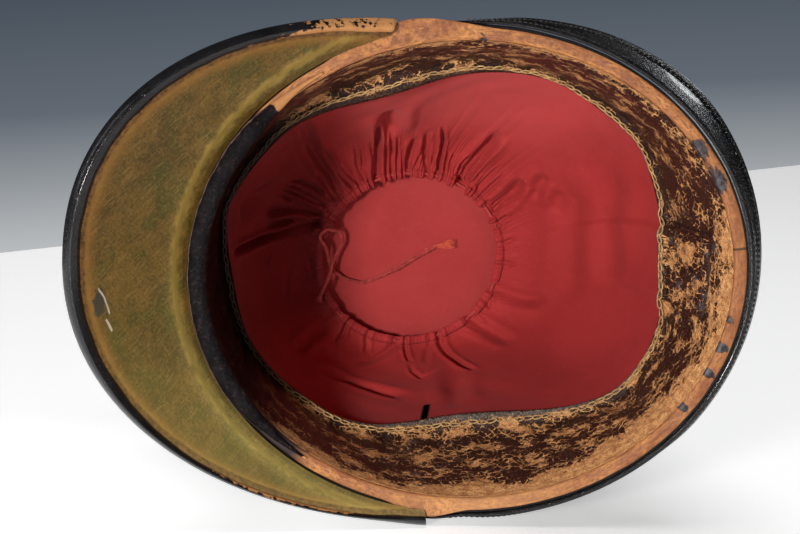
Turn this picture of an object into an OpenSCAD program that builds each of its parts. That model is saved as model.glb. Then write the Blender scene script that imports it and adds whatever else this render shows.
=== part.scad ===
// Leather and felt shako with a front visor, a turned-up rear peak, a leather
// sweatband and a red lining gathered on a drawstring.
// The hat stands as worn: +Z up, visor toward -Y, wearer's left toward +X.
// The origin is the centre of the head opening, in the plane of the rim.

/* [Head opening] */
// Length of the opening inside the felt, front to back
opening_length = 197; // [188:1:206]
// Width of the opening inside the felt
opening_width = 171; // [162:1:178]

/* [Body] */
// Height of the body at the front
front_height = 124; // [110:1:140]
// Height of the body at the back
back_height = 156; // [140:1:172]
// Length of the crown inside the felt, front to back
crown_length = 150; // [138:1:162]
// Width of the crown inside the felt
crown_width = 136; // [124:1:146]
// How far the crown's centre lies forward of the rim's centre
crown_forward = 14; // [6:1:22]
// How far the sides curve in between rim and crown
waist = 0.5; // [0:0.5:2]
// Thickness of the felt body
felt_t = 2.4; // [1.8:0.1:3.2]
// Thickness of the cloth and leather that cover the body
cover_t = 0.9; // [0.6:0.1:1.4]

/* [Crown] */
// Thickness of the board that stiffens the crown
crown_board_t = 2.2; // [1.5:0.1:3]
// Thickness of the patent leather over the crown
crown_leather_t = 1; // [0.8:0.1:1.4]
// Depth of the sunk crown below its raised edge
crown_sink = 3; // [2:0.5:5]
// How far the crown leather is lasted down over the sides
crown_lap = 14; // [12:1:18]

/* [Bands and seams] */
// Height of the leather band round the base
base_band_h = 22; // [18:1:28]
// Thickness of the base band
base_band_t = 1.3; // [1:0.1:1.8]
// Height of the leather band round the top
top_band_h = 18; // [16:1:24]
// Thickness of the top band
top_band_t = 1.1; // [0.8:0.1:1.5]
// Width of the strap that covers the seam at the back
back_strap_w = 16; // [12:1:22]
// Thickness of the rim's turned-in leather
rim_leather_t = 1.1; // [0.9:0.1:1.4]
// Height of the rim leather inside the opening
rim_turn_in = 9; // [7:1:12]
// Diameter of the rolled leather under the front of the rim
roll_d = 7; // [6:0.2:8]

/* [Visor] */
// How far the visor's edge lies in front of the felt, measured level
visor_reach = 46; // [38:1:54]
// How far the visor's edge lies outside the felt at its two ends
visor_side = 8; // [7:0.5:10]
// How far the visor's tip leans toward the wearer's left
visor_lean = 6.8; // [0:0.4:8]
// Droop of the visor below the plane of the rim, in degrees
visor_droop = 34; // [24:1:40]
// Angle of the rim that the visor covers on the wearer's left
visor_left = 71; // [66:1:76]
// Angle of the rim that the visor covers on the wearer's right
visor_right = 83; // [76:1:84]
// Thickness of the visor's board
visor_core_t = 1.6; // [1.2:0.1:2.2]
// Thickness of the leather on the visor's top and underside
visor_skin_t = 0.9; // [0.7:0.1:1.2]
// How far the visor's flange reaches up the body
visor_flange = 13; // [10:1:16]
// Width of the leather bound over the visor's edge
visor_binding_w = 4; // [3:0.5:4.5]
// Thickness of the visor's edge binding
visor_binding_t = 0.9; // [0.7:0.1:1.2]

/* [Rear peak] */
// Height of the turned-up peak at the back
peak_h = 25; // [20:1:30]
// How far the peak's upper edge stands out from the base band
peak_flare = 13.5; // [10:0.5:15]
// Thickness of the peak's leather
peak_t = 1.8; // [1.4:0.1:2.4]
// Half angle of the rim that the peak covers
peak_half = 94; // [85:1:96]
// Width of the leather bound over the peak's upper edge
peak_binding_w = 3.5; // [2.5:0.5:4.5]

/* [Sweatband] */
// Height of the sweatband
sweat_h = 50; // [44:1:55]
// Thickness of the sweatband leather
sweat_t = 1.2; // [1:0.1:1.6]
// How far the sweatband's upper edge has sagged in where it leans most
sweat_lean = 12; // [9:0.5:15]
// Diameter of the thread chain stitched along the upper edge
thread_d = 0.9; // [0.7:0.1:1.2]
// Distance of the chain stitch from the upper edge
stitch_in = 3.5; // [2.5:0.5:4]
// Height of the leather patch that laps the sweatband's join
patch_h = 36; // [28:1:40]
// Thickness of the patch
patch_t = 0.9; // [0.7:0.1:1.2]

/* [Lining] */
// Length of the gathered opening in the lining, front to back
gather_length = 73; // [64:1:80]
// Width of the gathered opening
gather_width = 66; // [58:1:72]
// How far the opening has sagged toward the wearer's right
gather_sag = 17; // [8:1:20]
// How far the opening's centre lies forward of the rim's centre
gather_forward = 9; // [4:1:14]
// Distance of the gathered hem below the crown lining
gather_drop = 8; // [6:0.5:11]
// Thickness of the lining cloth with its nap
cloth_t = 0.7; // [0.5:0.1:1]
// Depth of the folds at the gathered hem
fold_depth = 1.5; // [0.5:0.1:2]
// Number of main folds round the hem
fold_count = 24; // [12:12:24]

/* [Drawstring] */
// Diameter of the drawstring
cord_d = 1.2; // [1:0.1:1.5]
// Length of the frayed tassel at its end
tassel_l = 10; // [7:1:13]

/* [Hidden] */

// Play between pieces that lie on each other
seat = 0.08;
// Number of steps round the hat
steps = 60;
rim_a = opening_length / 2;
rim_b = opening_width / 2;
crown_a = crown_length / 2;
crown_b = crown_width / 2;
crown_mid = (front_height + back_height) / 2;
crown_slope = (back_height - front_height) / crown_length;
crown_tilt = atan(crown_slope);
// Faces of the wall, as distances out from the felt's inner face
cover_in = felt_t + seat;
cover_out = cover_in + cover_t;
band_in = cover_out + seat;
band_out = band_in + base_band_t;
flange_in = band_in + 0.1;
flange_mid = flange_in + visor_core_t / 2;
// Width of the hem that is folded over the drawstring
hem_w = 3.4;
// Levels under the crown's plane, square to it
dish_top = -crown_sink;
dish_under = dish_top - crown_leather_t;
board_under = dish_under - seat - crown_board_t;
lining_under = board_under - seat - cloth_t;
hem_level = lining_under - gather_drop;

// Route of the drawstring on the crown lining, from the tassel to the hem
cord_route = [
    [-13.5, 2.5, 135.1], [-16.5, -3, 134], [-19.5, -8.5, 132.6], [-22.5, -13, 131.4],
    [-24, -16.5, 130.9], [-27, -23, 129.6], [-28.5, -28, 128.4], [-27.5, -32, 127.4],
    [-26.5, -35.5, 126], [-24.5, -38.5, 124], [-22.5, -41, 122.4], [-19, -42.6, 120.6],
    [-15.5, -43.5, 118.4], [-11.5, -45, 116.2], [-8.6, -47, 115.1], [-6.6, -46.6, 115.1],
    [-4.8, -44.2, 115.3], [-5.2, -42, 117], [-6.6, -38.6, 120.6], [-11, -37.6, 121.8],
    [-15, -39.4, 121.4], [-19, -41, 120.2], [-22.5, -42, 118.4], [-26, -43.2, 116.2],
    [-29.5, -44.8, 115.1], [-32, -46, 115]
];
// Rings laid between two points of the route
cord_cuts = 3;

black = [0.07, 0.06, 0.07];
tan = [0.72, 0.45, 0.27];
green = [0.45, 0.4, 0.16];
red = [0.62, 0.17, 0.18];

function mix(a, b, k) = a + (b - a) * k;
function ease(k) = let (c = min(1, max(0, k))) c * c * (3 - 2 * c);
// The same angle, from -180 to 180
function turn(t) = t > 180 ? turn(t - 360) : t < -180 ? turn(t + 360) : t;

// Unit vector straight out of the oval at angle t, where 0 is the back
function outward(t) = let (v = [sin(t) / rim_b, cos(t) / rim_a]) v / norm(v);

// Height of the crown's sloping plane at a place y
function plane_z(y) = crown_mid + crown_slope * (y + crown_forward);
function top_z(t) = plane_z(crown_a * cos(t) - crown_forward);

// Plan of the wall at a share h of its height, d out from the felt's inner face
function wall_xy(t, h, d) =
    let (o = outward(t), bow = d - lookup(h, [[0, 0], [0.38, waist], [0.7, waist], [1, 0]]))
    [mix(rim_b, crown_b, h) * sin(t) + bow * o.x,
     mix(rim_a, crown_a, h) * cos(t) - crown_forward * h + bow * o.y];
function wall(t, h, d) = let (p = wall_xy(t, h, d)) [p.x, p.y, h * top_z(t)];
function wall_at(t, z, d) = wall(t, z / top_z(t), d);
function crown(t, d, rise) = let (p = wall_xy(t, 1, d)) [p.x, p.y, plane_z(p.y) + rise];

// Faces between one ring of m points and the next
function band_faces(i, next, m) = [
    for (j = [0 : m - 1], part = [0, 1])
        let (k = (j + 1) % m)
        part == 0 ? [i * m + j, i * m + k, next * m + k] : [i * m + j, next * m + k, next * m + j]
];
function joined(lists) = [for (l = lists, f = l) f];

// Solid of sections that go once round and meet
module loop_solid(sections) {
    n = len(sections);
    walls = [for (i = [0 : n - 1]) band_faces(i, (i + 1) % n, len(sections[0]))];
    polyhedron(points = joined(sections), faces = joined(walls));
}

// Faces over one end section, whose second half runs back beside its first
function cap_faces(m) = joined([
    for (j = [0 : floor((m - 1) / 2) - 1])
        let (a = j, b = j + 1, c = m - 2 - j, d = m - 1 - j)
        c > b ? [[a, b, d], [b, c, d]] : [[a, b, d]]
]);

// Solid of stacked sections, closed at both ends
module stack_solid(sections) {
    n = len(sections);
    m = len(sections[0]);
    walls = joined([for (i = [0 : n - 2]) band_faces(i, i + 1, m)]);
    first = [for (f = cap_faces(m)) [f[2], f[1], f[0]]];
    last = [for (f = cap_faces(m)) f + (n - 1) * m * [1, 1, 1]];
    polyhedron(points = joined(sections), faces = concat(walls, first, last));
}

function round_angles(count) = [for (i = [0 : count - 1]) -360 * i / count];
function arc_angles(from, to, count) = [for (i = [0 : count]) mix(from, to, i / count)];

// Section through the whole wall between distances d0 and d1, from height z up
function wall_section(t, d0, d1, z) = [
    wall_at(t, z, d1), wall(t, 0.38, d1), wall(t, 0.7, d1), crown(t, d1, 0),
    crown(t, d0, 0), wall(t, 0.7, d0), wall(t, 0.38, d0), wall_at(t, z, d0)
];

// Stiff body of blocked felt
module felt_body() {
    color([0.2, 0.15, 0.12])
        loop_solid([for (t = round_angles(steps)) wall_section(t, 0, felt_t, rim_leather_t + seat)]);
}

// Fine black cloth over the felt
module body_cover() {
    color(black)
        loop_solid([
            for (t = round_angles(steps)) wall_section(t, cover_in, cover_out, rim_leather_t + seat)
        ]);
}

// Share of the visor's flange under the base band at angle t
function flange_share(t) =
    let (half = turn(t) > 0 ? visor_left : visor_right)
    ease((half + 9 - (180 - abs(turn(t)))) / 8);
function swell(t) = (visor_core_t + 0.3) * flange_share(t);
function band_foot(t) = mix(0.5, 3.6, flange_share(t));

// Leather strap down the seam at the back
module back_strap() {
    half = back_strap_w / 2 / (rim_b * PI / 180);
    low = base_band_h + 1;
    high = 1 - (top_band_h + 1) / back_height;
    color(black)
        stack_solid([
            for (h = [low / back_height, 0.38, 0.7, high]) [
                for (t = [half, 0, -half]) wall(t, h, band_in),
                for (t = [-half, 0, half]) wall(t, h, band_in + base_band_t)
            ]
        ]);
}

// Patent leather band round the base, over the visor's flange
module base_band() {
    color(black)
        loop_solid([
            for (t = round_angles(steps))
                let (d0 = band_in + swell(t), d1 = band_out + swell(t), z = band_foot(t))
                [wall_at(t, z + 0.3, d1), wall_at(t, base_band_h - 0.4, d1),
                 wall_at(t, base_band_h, d1 - 0.5), wall_at(t, base_band_h, d0), wall_at(t, z, d0)]
        ]);
}

// Thread of one seam laid on the wall at height z, d out from the felt
module seam(z, d) {
    r = thread_d / 2;
    loop_solid([
        for (t = round_angles(steps))
            [wall_at(t, z - r, d(t)), wall_at(t, z, d(t) + r),
             wall_at(t, z + r, d(t)), wall_at(t, z, d(t) - 0.02)]
    ]);
}

// Seam that holds the base band's upper edge
module base_band_seam() {
    color(black) seam(base_band_h - 3, function (t) band_out + swell(t) + 0.02);
}

// Leather band round the top
module top_band() {
    d0 = band_in + crown_leather_t + seat;
    d1 = d0 + top_band_t;
    color(black)
        loop_solid([
            for (t = round_angles(steps))
                let (low = 1 - top_band_h / top_z(t), high = 1 - 1.5 / top_z(t))
                [wall(t, low, d1), wall(t, high, d1), wall(t, high, d0), wall(t, low, d0)]
        ]);
}

// Seam that holds the top band's lower edge
module top_band_seam() {
    r = thread_d / 2;
    d = band_in + crown_leather_t + seat + top_band_t + 0.02;
    color(black)
        loop_solid([
            for (t = round_angles(steps))
                let (h = 1 - (top_band_h - 3) / top_z(t), dh = r / top_z(t))
                [wall(t, h - dh, d), wall(t, h, d + r), wall(t, h + dh, d), wall(t, h, d - 0.02)]
        ]);
}

// Flat oval plate in the crown's plane, d out from the felt, with its top at a level
module crown_plate(d, level, thickness) {
    translate([0, -crown_forward, crown_mid + level / cos(crown_tilt)])
        rotate([crown_tilt, 0, 0])
            translate([0, 0, -thickness])
                linear_extrude(thickness)
                    polygon([
                        for (t = round_angles(steps))
                            let (p = wall_xy(t, 1, d)) [p.x, (p.y + crown_forward) / cos(crown_tilt)]
                    ]);
}

// Width of the crown's raised edge inside the felt's inner face
lip_w = crown_leather_t + crown_sink * sin(crown_tilt);
// Point on the raised edge's inner face, which stands square on the disc
function lip_point(t, level) =
    let (p = wall_xy(t, 1, -lip_w), r = level - dish_top)
    [p.x, p.y - r * sin(crown_tilt), plane_z(p.y) + dish_top / cos(crown_tilt) + r * cos(crown_tilt)];

// Patent leather edge of the crown, lasted down over the sides
module crown_edge() {
    out = band_in + crown_leather_t;
    color(black)
        loop_solid([
            for (t = round_angles(steps))
                let (low = 1 - crown_lap / top_z(t))
                [crown(t, -seat, dish_under), crown(t, -seat, seat), crown(t, band_in, seat),
                 wall(t, low, band_in), wall(t, low, out), crown(t, out, -0.6),
                 crown(t, mix(-crown_leather_t, out, 0.6), crown_leather_t), lip_point(t, 0.6),
                 lip_point(t, dish_under)]
        ]);
}

// Sunk disc of patent leather that closes the crown
module crown_disc() {
    color(black) crown_plate(-lip_w - 2 * seat, dish_top, crown_leather_t);
}

// Board that stiffens the crown, held inside the felt
module crown_board() {
    color([0.5, 0.4, 0.28]) crown_plate(-0.9, dish_under - seat, crown_board_t);
}

// Red cloth on the underside of the crown board
module crown_lining() {
    color(red) crown_plate(-2.4, board_under - seat, cloth_t);
}

// Tan leather turned in over the rim
module rim_leather() {
    r = rim_leather_t;
    color(tan)
        loop_solid([
            for (t = round_angles(steps))
                [wall_at(t, 0, cover_out), wall_at(t, r, cover_out), wall_at(t, r, -seat),
                 wall_at(t, rim_turn_in, -seat), wall_at(t, rim_turn_in, -r),
                 wall_at(t, 0.7, -r), wall_at(t, 0, -r + 0.7)]
        ]);
}

// Rolled leather under the front of the rim, over the visor's root
module rim_roll() {
    half = 55;
    r = roll_d / 2;
    color([0.13, 0.07, 0.09])
        stack_solid([
            for (t = arc_angles(180 + half, 180 - half, 26))
                let (k = r * (0.45 + 0.55 * ease((half - abs(t - 180)) / 22)))
                [for (a = [0 : 45 : 315])
                    wall_at(t, 0, 0.17 * r + k * cos(a)) + [0, 0, k * (sin(a) - 1) - seat]]
        ]);
}

// Root and outer edge of the visor, for u from -1 to 1
function visor_half(u) = u > 0 ? visor_right : visor_left;
function visor_angle(u) = 180 + visor_half(u) * u;
function visor_root(u) = let (p = wall_at(visor_angle(u), 0.8, flange_mid)) [p.x, p.y];
function visor_edge(u) =
    let (
        wide = rim_b * sin(visor_half(u)) + visor_side,
        back = rim_a * cos(visor_half(u)),
        front = rim_a + visor_reach,
        across = pow(sin(90 * abs(u)), 0.93),
        ahead = pow(cos(90 * u), 0.93)
    )
    [visor_lean * cos(90 * u) - sign(u) * wide * across, -back - (front - back) * ahead];
function visor_span(u) = norm(visor_edge(u) - visor_root(u));
// Point on the visor r out from its root, with k the height off its mid-face
function visor_point(u, r, k) =
    let (
        root = visor_root(u),
        g = (visor_edge(u) - root) / visor_span(u),
        fall = r * tan(visor_droop) * (0.85 + 0.15 * r / visor_span(u)),
        side = k * sin(visor_droop)
    )
    [root.x + g.x * (r + side), root.y + g.y * (r + side), 0.8 - fall + k * cos(visor_droop)];
function visor_steps(count) = [for (i = [0 : count]) 1 - 2 * i / count];

// Section of one visor layer between heights k0 and k1, from r out to the edge
function visor_layer(u, r, k0, k1) =
    let (w = visor_span(u))
    concat(
        [for (s = [0, 0.4, 0.75, 1]) visor_point(u, mix(r, w, s), k0)],
        [for (s = [1, 0.75, 0.4, 0]) visor_point(u, mix(r, w, s), k1)]
    );

// Stiff board of the visor with the flange that is sewn to the body
module visor_board() {
    k = visor_core_t / 2;
    color([0.35, 0.28, 0.2])
        stack_solid([
            for (u = visor_steps(36))
                let (t = visor_angle(u), skirt = visor_flange * mix(0.35, 1, ease((1 - abs(u)) / 0.2)))
                concat(
                    [wall_at(t, skirt, flange_in), wall_at(t, 1.2, flange_in)],
                    visor_layer(u, 0.3, -k, k),
                    [wall_at(t, 2.2, flange_in + visor_core_t), wall_at(t, skirt, flange_in + visor_core_t)]
                )
        ]);
}

// Patent leather on top of the visor
module visor_top() {
    k = visor_core_t / 2 + seat;
    color(black)
        stack_solid([for (u = visor_steps(36)) visor_layer(u, 1.2, k, k + visor_skin_t)]);
}

// Green leather on the underside of the visor
module visor_underside() {
    k = visor_core_t / 2 + seat;
    color(green)
        stack_solid([for (u = visor_steps(36)) visor_layer(u, 0.7, -k - visor_skin_t, -k)]);
}

// Patent leather bound over the visor's outer edge
module visor_binding() {
    k0 = visor_core_t / 2 + visor_skin_t + 2 * seat;
    k1 = k0 + visor_binding_t;
    k2 = k0 - 0.5;
    color(black)
        stack_solid([
            for (u = visor_steps(36))
                let (
                    e = visor_span(u) + seat,
                    in = e - min(visor_binding_w, 0.55 * e),
                    out = e + visor_binding_t
                )
                [visor_point(u, in, -k1), visor_point(u, e, -k1), visor_point(u, out, -k2),
                 visor_point(u, out, k2), visor_point(u, e, k1), visor_point(u, in, k1),
                 visor_point(u, in, k0), visor_point(u, e, k0), visor_point(u, e, k2),
                 visor_point(u, e, -k2), visor_point(u, e, -k0), visor_point(u, in, -k0)]
        ]);
}

// Share of the rear peak's full height at angle t
function peak_share(t) = 0.16 + 0.84 * ease((peak_half - abs(t)) / 48);
// Share of its full flare, and its thickness, at angle t
function peak_stand(t) = ease((peak_half + 1 - abs(t)) / 62);
function peak_thick(t) = peak_t * (0.45 + 0.55 * ease((peak_half - abs(t)) / 14));
// Face of the rear peak at a share s of its height, d out from its inner face
function peak_point(t, s, d) =
    let (k = peak_share(t), stand = peak_flare * peak_stand(t) * (0.3 * s + 0.7 * s * s))
    wall_at(t, peak_h * (0.024 + k * s), band_out + swell(t) + seat + stand + d);

// Turned-up peak at the back, sewn on at the rim
module rear_peak() {
    levels = [0, 0.25, 0.5, 0.75, 0.88, 1];
    function bulge(t, i) = peak_t * [0, 0.28, 0.17, 0, 0, 0][i] * ease((peak_share(t) - 0.4) / 0.4);
    color(black)
        stack_solid([
            for (t = arc_angles(peak_half, -peak_half, 36))
                concat(
                    [for (i = [0 : 5]) peak_point(t, levels[i], peak_thick(t) + bulge(t, i))],
                    [for (i = [5 : -1 : 0]) peak_point(t, levels[i], 0)]
                )
        ]);
}

// Leather bound over the peak's upper edge
module rear_peak_binding() {
    color(black)
        stack_solid([
            for (t = arc_angles(peak_half, -peak_half, 36))
                let (
                    h = peak_h * peak_share(t),
                    low = 1 - min(peak_binding_w / h, 0.6),
                    high = 1 + 0.8 * peak_t / h,
                    b = 0.45 * peak_thick(t),
                    d = peak_thick(t) + seat
                )
                [peak_point(t, low, d + b), peak_point(t, 1, d + b), peak_point(t, high, d / 2),
                 peak_point(t, 1.01, 0), peak_point(t, 1.01, d), peak_point(t, low, d)]
        ]);
}

// Seam along the peak's root
module rear_peak_seam() {
    r = thread_d / 2;
    color(black)
        stack_solid([
            for (t = arc_angles(peak_half - 1, 1 - peak_half, 36))
                let (d = peak_thick(t) + 0.16 * peak_t)
                [for (a = [0 : 72 : 288]) peak_point(t, 0.1 + r * sin(a) / peak_h, d + r * (1.22 + cos(a)))]
        ]);
}

// Smooth bulge about an angle
function bump(t, at, width) = ease(1 - abs(turn(t - at)) / width);
// Height of the sweatband's upper edge, and its distance from the felt, worn out of true
function sweat_top_z(t) =
    sweat_h * (1 - 0.24 * bump(t, 322, 38)) + 1.2 * sin(2 * t + 70) + 0.9 * sin(7 * t);
function sweat_gap(t) =
    cloth_t + 2.3 + 0.25 * sin(11 * t) - 1.4 * bump(t, 34, 16) - 1.4 * bump(t, 334, 26)
    + sweat_lean * (bump(t, 110, 50) + 0.81 * bump(t, 281, 40) + 0.28 * bump(t, 190, 24));
function sweat_edge_xy(t) = wall_xy(t, sweat_top_z(t) / top_z(t), -sweat_gap(t));
// Face of the sweatband at a share s of its height, d in from its outer face
function sweat(t, s, d) =
    let (
        z = mix(0.9, sweat_top_z(t), s),
        o = outward(t),
        foot = wall_xy(t, z / top_z(t), -rim_leather_t - 0.2),
        p = mix(foot, sweat_edge_xy(t), (pow(s, 1.4) + pow(s, 5)) / 2)
    )
    [p.x - d * o.x, p.y - d * o.y, z];

// Dark leather sweatband, sewn at the rim and free at its upper edge
module sweatband() {
    levels = [0, 0.3, 0.6, 0.85, 1 - stitch_in / sweat_h, 1];
    color([0.24, 0.11, 0.09])
        loop_solid([
            for (t = round_angles(steps))
                concat(
                    [for (s = levels) sweat(t, s, 0)],
                    [for (i = [5 : -1 : 0]) sweat(t, levels[i], sweat_t)]
                )
        ]);
}

// Leather patch that laps the sweatband's join at the back
module sweatband_patch() {
    low = 1 - patch_h / sweat_h;
    d = sweat_t + 0.15;
    color([0.3, 0.15, 0.1])
        stack_solid([
            for (s = [low, 0.6, 0.85, 0.985])
                concat(
                    [for (t = [-12.5, -5.5, 2, 9.5]) sweat(t, s, d)],
                    [for (t = [9.5, 2, -5.5, -12.5]) sweat(t, s, d + patch_t)]
                )
        ]);
}

// Chain stitch round the sweatband, just below its upper edge
module sweatband_stitch() {
    r = thread_d / 2;
    s = 1 - stitch_in / sweat_h;
    ds = r / sweat_h;
    color([0.72, 0.55, 0.3])
        loop_solid([
            for (t = round_angles(steps))
                let (lift = patch_t * ease((18 - abs(turn(t) + 1.5)) / 5) * 1.2, d = sweat_t + 0.05 + lift)
                [sweat(t, s - ds, d), sweat(t, s, d - 0.03), sweat(t, s + ds, d), sweat(t, s, d + r)]
        ]);
}

// Plan and height of the gathered hem
function hem_xy(t) =
    [(gather_width / 2 + hem_w) * sin(t) - gather_sag,
     (gather_length / 2 + hem_w) * cos(t) - gather_forward];
function hem_z(t) = plane_z(hem_xy(t).y) + hem_level;
function fold(t, s) = fold_depth * ease((s - 0.3) / 0.7) * cos(fold_count * t) * (0.8 + 0.2 * sin(2 * t));
// Face of the side lining at a share s of the way from the sweatband's edge to the hem,
// d off its inner face
function drape(t, s, d) =
    let (
        from = sweat(t, 1, -0.35),
        q = 90 * s,
        p = mix([from.x, from.y], hem_xy(t), 1 - cos(q)),
        k = d + fold(t, s) - (2 + 5 * max(0, cos(t))) * sin(2 * q),
        o = outward(t)
    )
    [p.x + k * cos(q) * o.x, p.y + k * cos(q) * o.y, mix(from.z + 0.4, hem_z(t), sin(q)) + k * sin(q)];

// Red lining from behind the sweatband's edge to the gathered hem
module side_lining() {
    levels = [0, 0.25, 0.5, 0.78, 1];
    color(red)
        loop_solid([
            for (t = round_angles(4 * fold_count))
                concat(
                    [sweat(t, 0.92, -0.35 - cloth_t)],
                    [for (s = levels) drape(t, s, cloth_t)],
                    [for (i = [4 : -1 : 0]) drape(t, levels[i], 0)],
                    [sweat(t, 0.92, -0.35)]
                )
        ]);
}

// Point near the hem, e in toward its centre and rise above its middle
function hem_point(t, e, rise) =
    let (p = hem_xy(t), o = outward(t)) [p.x - e * o.x, p.y - e * o.y, hem_z(t) + rise];

// Folded casing that holds the drawstring
module lining_hem() {
    h = cord_d / 2 + 0.35;
    w = cloth_t;
    color(red)
        loop_solid([
            for (t = round_angles(steps))
                [hem_point(t, 0.1, h + w), hem_point(t, hem_w - 0.8, h + w), hem_point(t, hem_w, 0),
                 hem_point(t, hem_w - 0.8, -h - w), hem_point(t, 0.1, -h - w), hem_point(t, 0.1, -h),
                 hem_point(t, hem_w - 1.2, -h), hem_point(t, hem_w - w, 0), hem_point(t, hem_w - 1.2, h),
                 hem_point(t, 0.1, h)]
        ]);
}

// Part of the drawstring that runs round inside the casing
module drawstring_run() {
    r = cord_d / 2;
    color([0.55, 0.12, 0.12])
        loop_solid([
            for (t = round_angles(steps))
                [for (a = [288 : -72 : 0]) hem_point(t, 1.5 + r * cos(a), r * sin(a))]
        ]);
}

// Smooth curve through the route's points
function spline(p0, p1, p2, p3, k) =
    p1 + 0.5 * k * (p2 - p0 + k * (2 * p0 - 5 * p1 + 4 * p2 - p3 + k * (3 * p1 - p0 - 3 * p2 + p3)));
cord_last = len(cord_route) - 1;
cord_path = [
    for (i = [0 : cord_last - 1], j = [0 : cord_cuts - 1])
        let (before = cord_route[max(0, i - 1)], after = cord_route[min(cord_last, i + 2)])
        spline(before, cord_route[i], cord_route[i + 1], after, j / cord_cuts),
    cord_route[cord_last]
];
// Ring of the cord at point i, square to the path
function cord_ring(i) =
    let (
        n = len(cord_path) - 1,
        way = cord_path[min(n, i + 1)] - cord_path[max(0, i - 1)],
        w = way / norm(way),
        x = cross(w, [0, 0, 1]),
        a = x / norm(x),
        b = cross(a, w),
        r = cord_d / 2
    )
    [for (j = [0 : 60 : 300]) cord_path[i] + r * cos(j) * a + r * sin(j) * b];

// Loose end of the drawstring, lying on the crown lining
module drawstring() {
    color([0.62, 0.14, 0.13]) stack_solid([for (i = [0 : len(cord_path) - 1]) cord_ring(i)]);
}

// Knot where the drawstring comes out of the hem
module drawstring_knot() {
    color([0.62, 0.14, 0.13])
        translate(cord_route[cord_last] + [-1.2, -0.4, -0.6])
            sphere(r = cord_d * 1.1, $fn = 24);
}

// Frayed end of the drawstring, spread into a flat fan of strands
module drawstring_tassel() {
    way = [1.4, 10.7, 2.3] / norm([1.4, 10.7, 2.3]);
    across = cross(way, [0, 0, 1]);
    up = cross(across, way);
    color([0.8, 0.22, 0.12])
        stack_solid([
            for (s = [0, 0.2, 0.5, 0.8, 1])
                let (
                    c = cord_route[0] + way * (0.15 + tassel_l * s),
                    w = cord_d / 2 * (1 + 2.4 * sin(110 * s)),
                    h = 0.5 * cord_d
                )
                [for (a = [0 : 30 : 330]) c + across * w * cos(a) + up * h * sin(a)]
        ]);
}

felt_body();
body_cover();
back_strap();
base_band();
base_band_seam();
top_band();
top_band_seam();
crown_edge();
crown_disc();
crown_board();
crown_lining();
rim_leather();
rim_roll();
visor_board();
visor_top();
visor_underside();
visor_binding();
rear_peak();
rear_peak_binding();
rear_peak_seam();
sweatband();
sweatband_patch();
sweatband_stitch();
side_lining();
lining_hem();
drawstring_run();
drawstring();
drawstring_knot();
drawstring_tassel();
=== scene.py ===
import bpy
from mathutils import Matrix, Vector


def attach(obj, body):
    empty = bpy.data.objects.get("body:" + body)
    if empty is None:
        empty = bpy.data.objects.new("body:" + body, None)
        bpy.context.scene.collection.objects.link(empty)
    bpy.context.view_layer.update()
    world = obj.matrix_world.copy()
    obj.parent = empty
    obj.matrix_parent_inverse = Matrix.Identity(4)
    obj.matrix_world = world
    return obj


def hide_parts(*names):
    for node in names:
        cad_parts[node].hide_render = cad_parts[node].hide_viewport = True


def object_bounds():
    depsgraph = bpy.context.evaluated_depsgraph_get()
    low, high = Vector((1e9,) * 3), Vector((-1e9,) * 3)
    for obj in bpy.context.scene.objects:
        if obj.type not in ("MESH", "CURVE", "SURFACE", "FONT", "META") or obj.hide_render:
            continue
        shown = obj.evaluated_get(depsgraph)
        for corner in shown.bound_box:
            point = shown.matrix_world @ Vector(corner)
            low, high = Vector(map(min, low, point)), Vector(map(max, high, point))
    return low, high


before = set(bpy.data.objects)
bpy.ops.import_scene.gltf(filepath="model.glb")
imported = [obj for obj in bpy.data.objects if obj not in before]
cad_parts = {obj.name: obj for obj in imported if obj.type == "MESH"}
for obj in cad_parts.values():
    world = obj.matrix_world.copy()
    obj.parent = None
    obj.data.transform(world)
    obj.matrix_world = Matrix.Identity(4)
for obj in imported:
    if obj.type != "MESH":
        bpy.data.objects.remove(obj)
cad_box = [list(corner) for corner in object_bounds()]

import math
import bpy
import numpy as np
from mathutils import Matrix, Vector

MM = 0.001

# ---------------------------------------------------------------- sizes of the part's source, in mm
RIM_A, RIM_B, CROWN_A, CROWN_B = 98.5, 85.5, 75.0, 68.0
FRONT, BACK, FORWARD, WAIST = 124.0, 156.0, 14.0, 0.5
SLOPE = (BACK - FRONT) / (2 * CROWN_A)
MID = (FRONT + BACK) / 2
TILT = math.atan(SLOPE)
SEAT = 0.08             # what a seated piece leaves free
COVER_IN = 2.4 + SEAT   # distances out from the felt's inner face
COVER_OUT = COVER_IN + 0.9
BAND_IN = COVER_OUT + SEAT
BAND_OUT = BAND_IN + 1.3
BASE_BAND_H, TOP_BAND_H, TOP_BAND_T = 22.0, 18.0, 1.1
CROWN_T, BOARD_T, CROWN_CLOTH_T = 1.0, 2.2, 0.7
DISH_TOP = -3.0         # levels below the crown's edge
LINING_UNDER = (DISH_TOP - CROWN_T - SEAT - BOARD_T - SEAT - CROWN_CLOTH_T)
HEM_LEVEL = LINING_UNDER - 8.0
HALF_BOARD, SKIN = 0.8, 0.9
VISOR_LEFT, VISOR_RIGHT, VISOR_DROOP = 71.0, 83.0, 34.0
VISOR_REACH, VISOR_SIDE, VISOR_LEAN = 46.0, 8.0, 6.8
SWEAT_T, SWEAT_H, SWEAT_LEAN = 1.2, 50.0, 12.0
PEAK_H, PEAK_FLARE, PEAK_T, PEAK_HALF = 25.0, 13.5, 1.8, 94.0
HEM_A, HEM_B, HEM_X, HEM_Y = 36.4, 39.9, -17.0, -9.0     # half widths and centre of the gathered opening
CORD_D = 1.2
RIM_SKIN, SWEAT_PLAY, SWEAT_FOOT = 1.1, 0.2, 0.9
RIM_PER_DEGREE = 1.75   # way along the back of the rim
LINING_RUN = 92.0       # the side lining's way from the sweatband's edge to the hem


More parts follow.
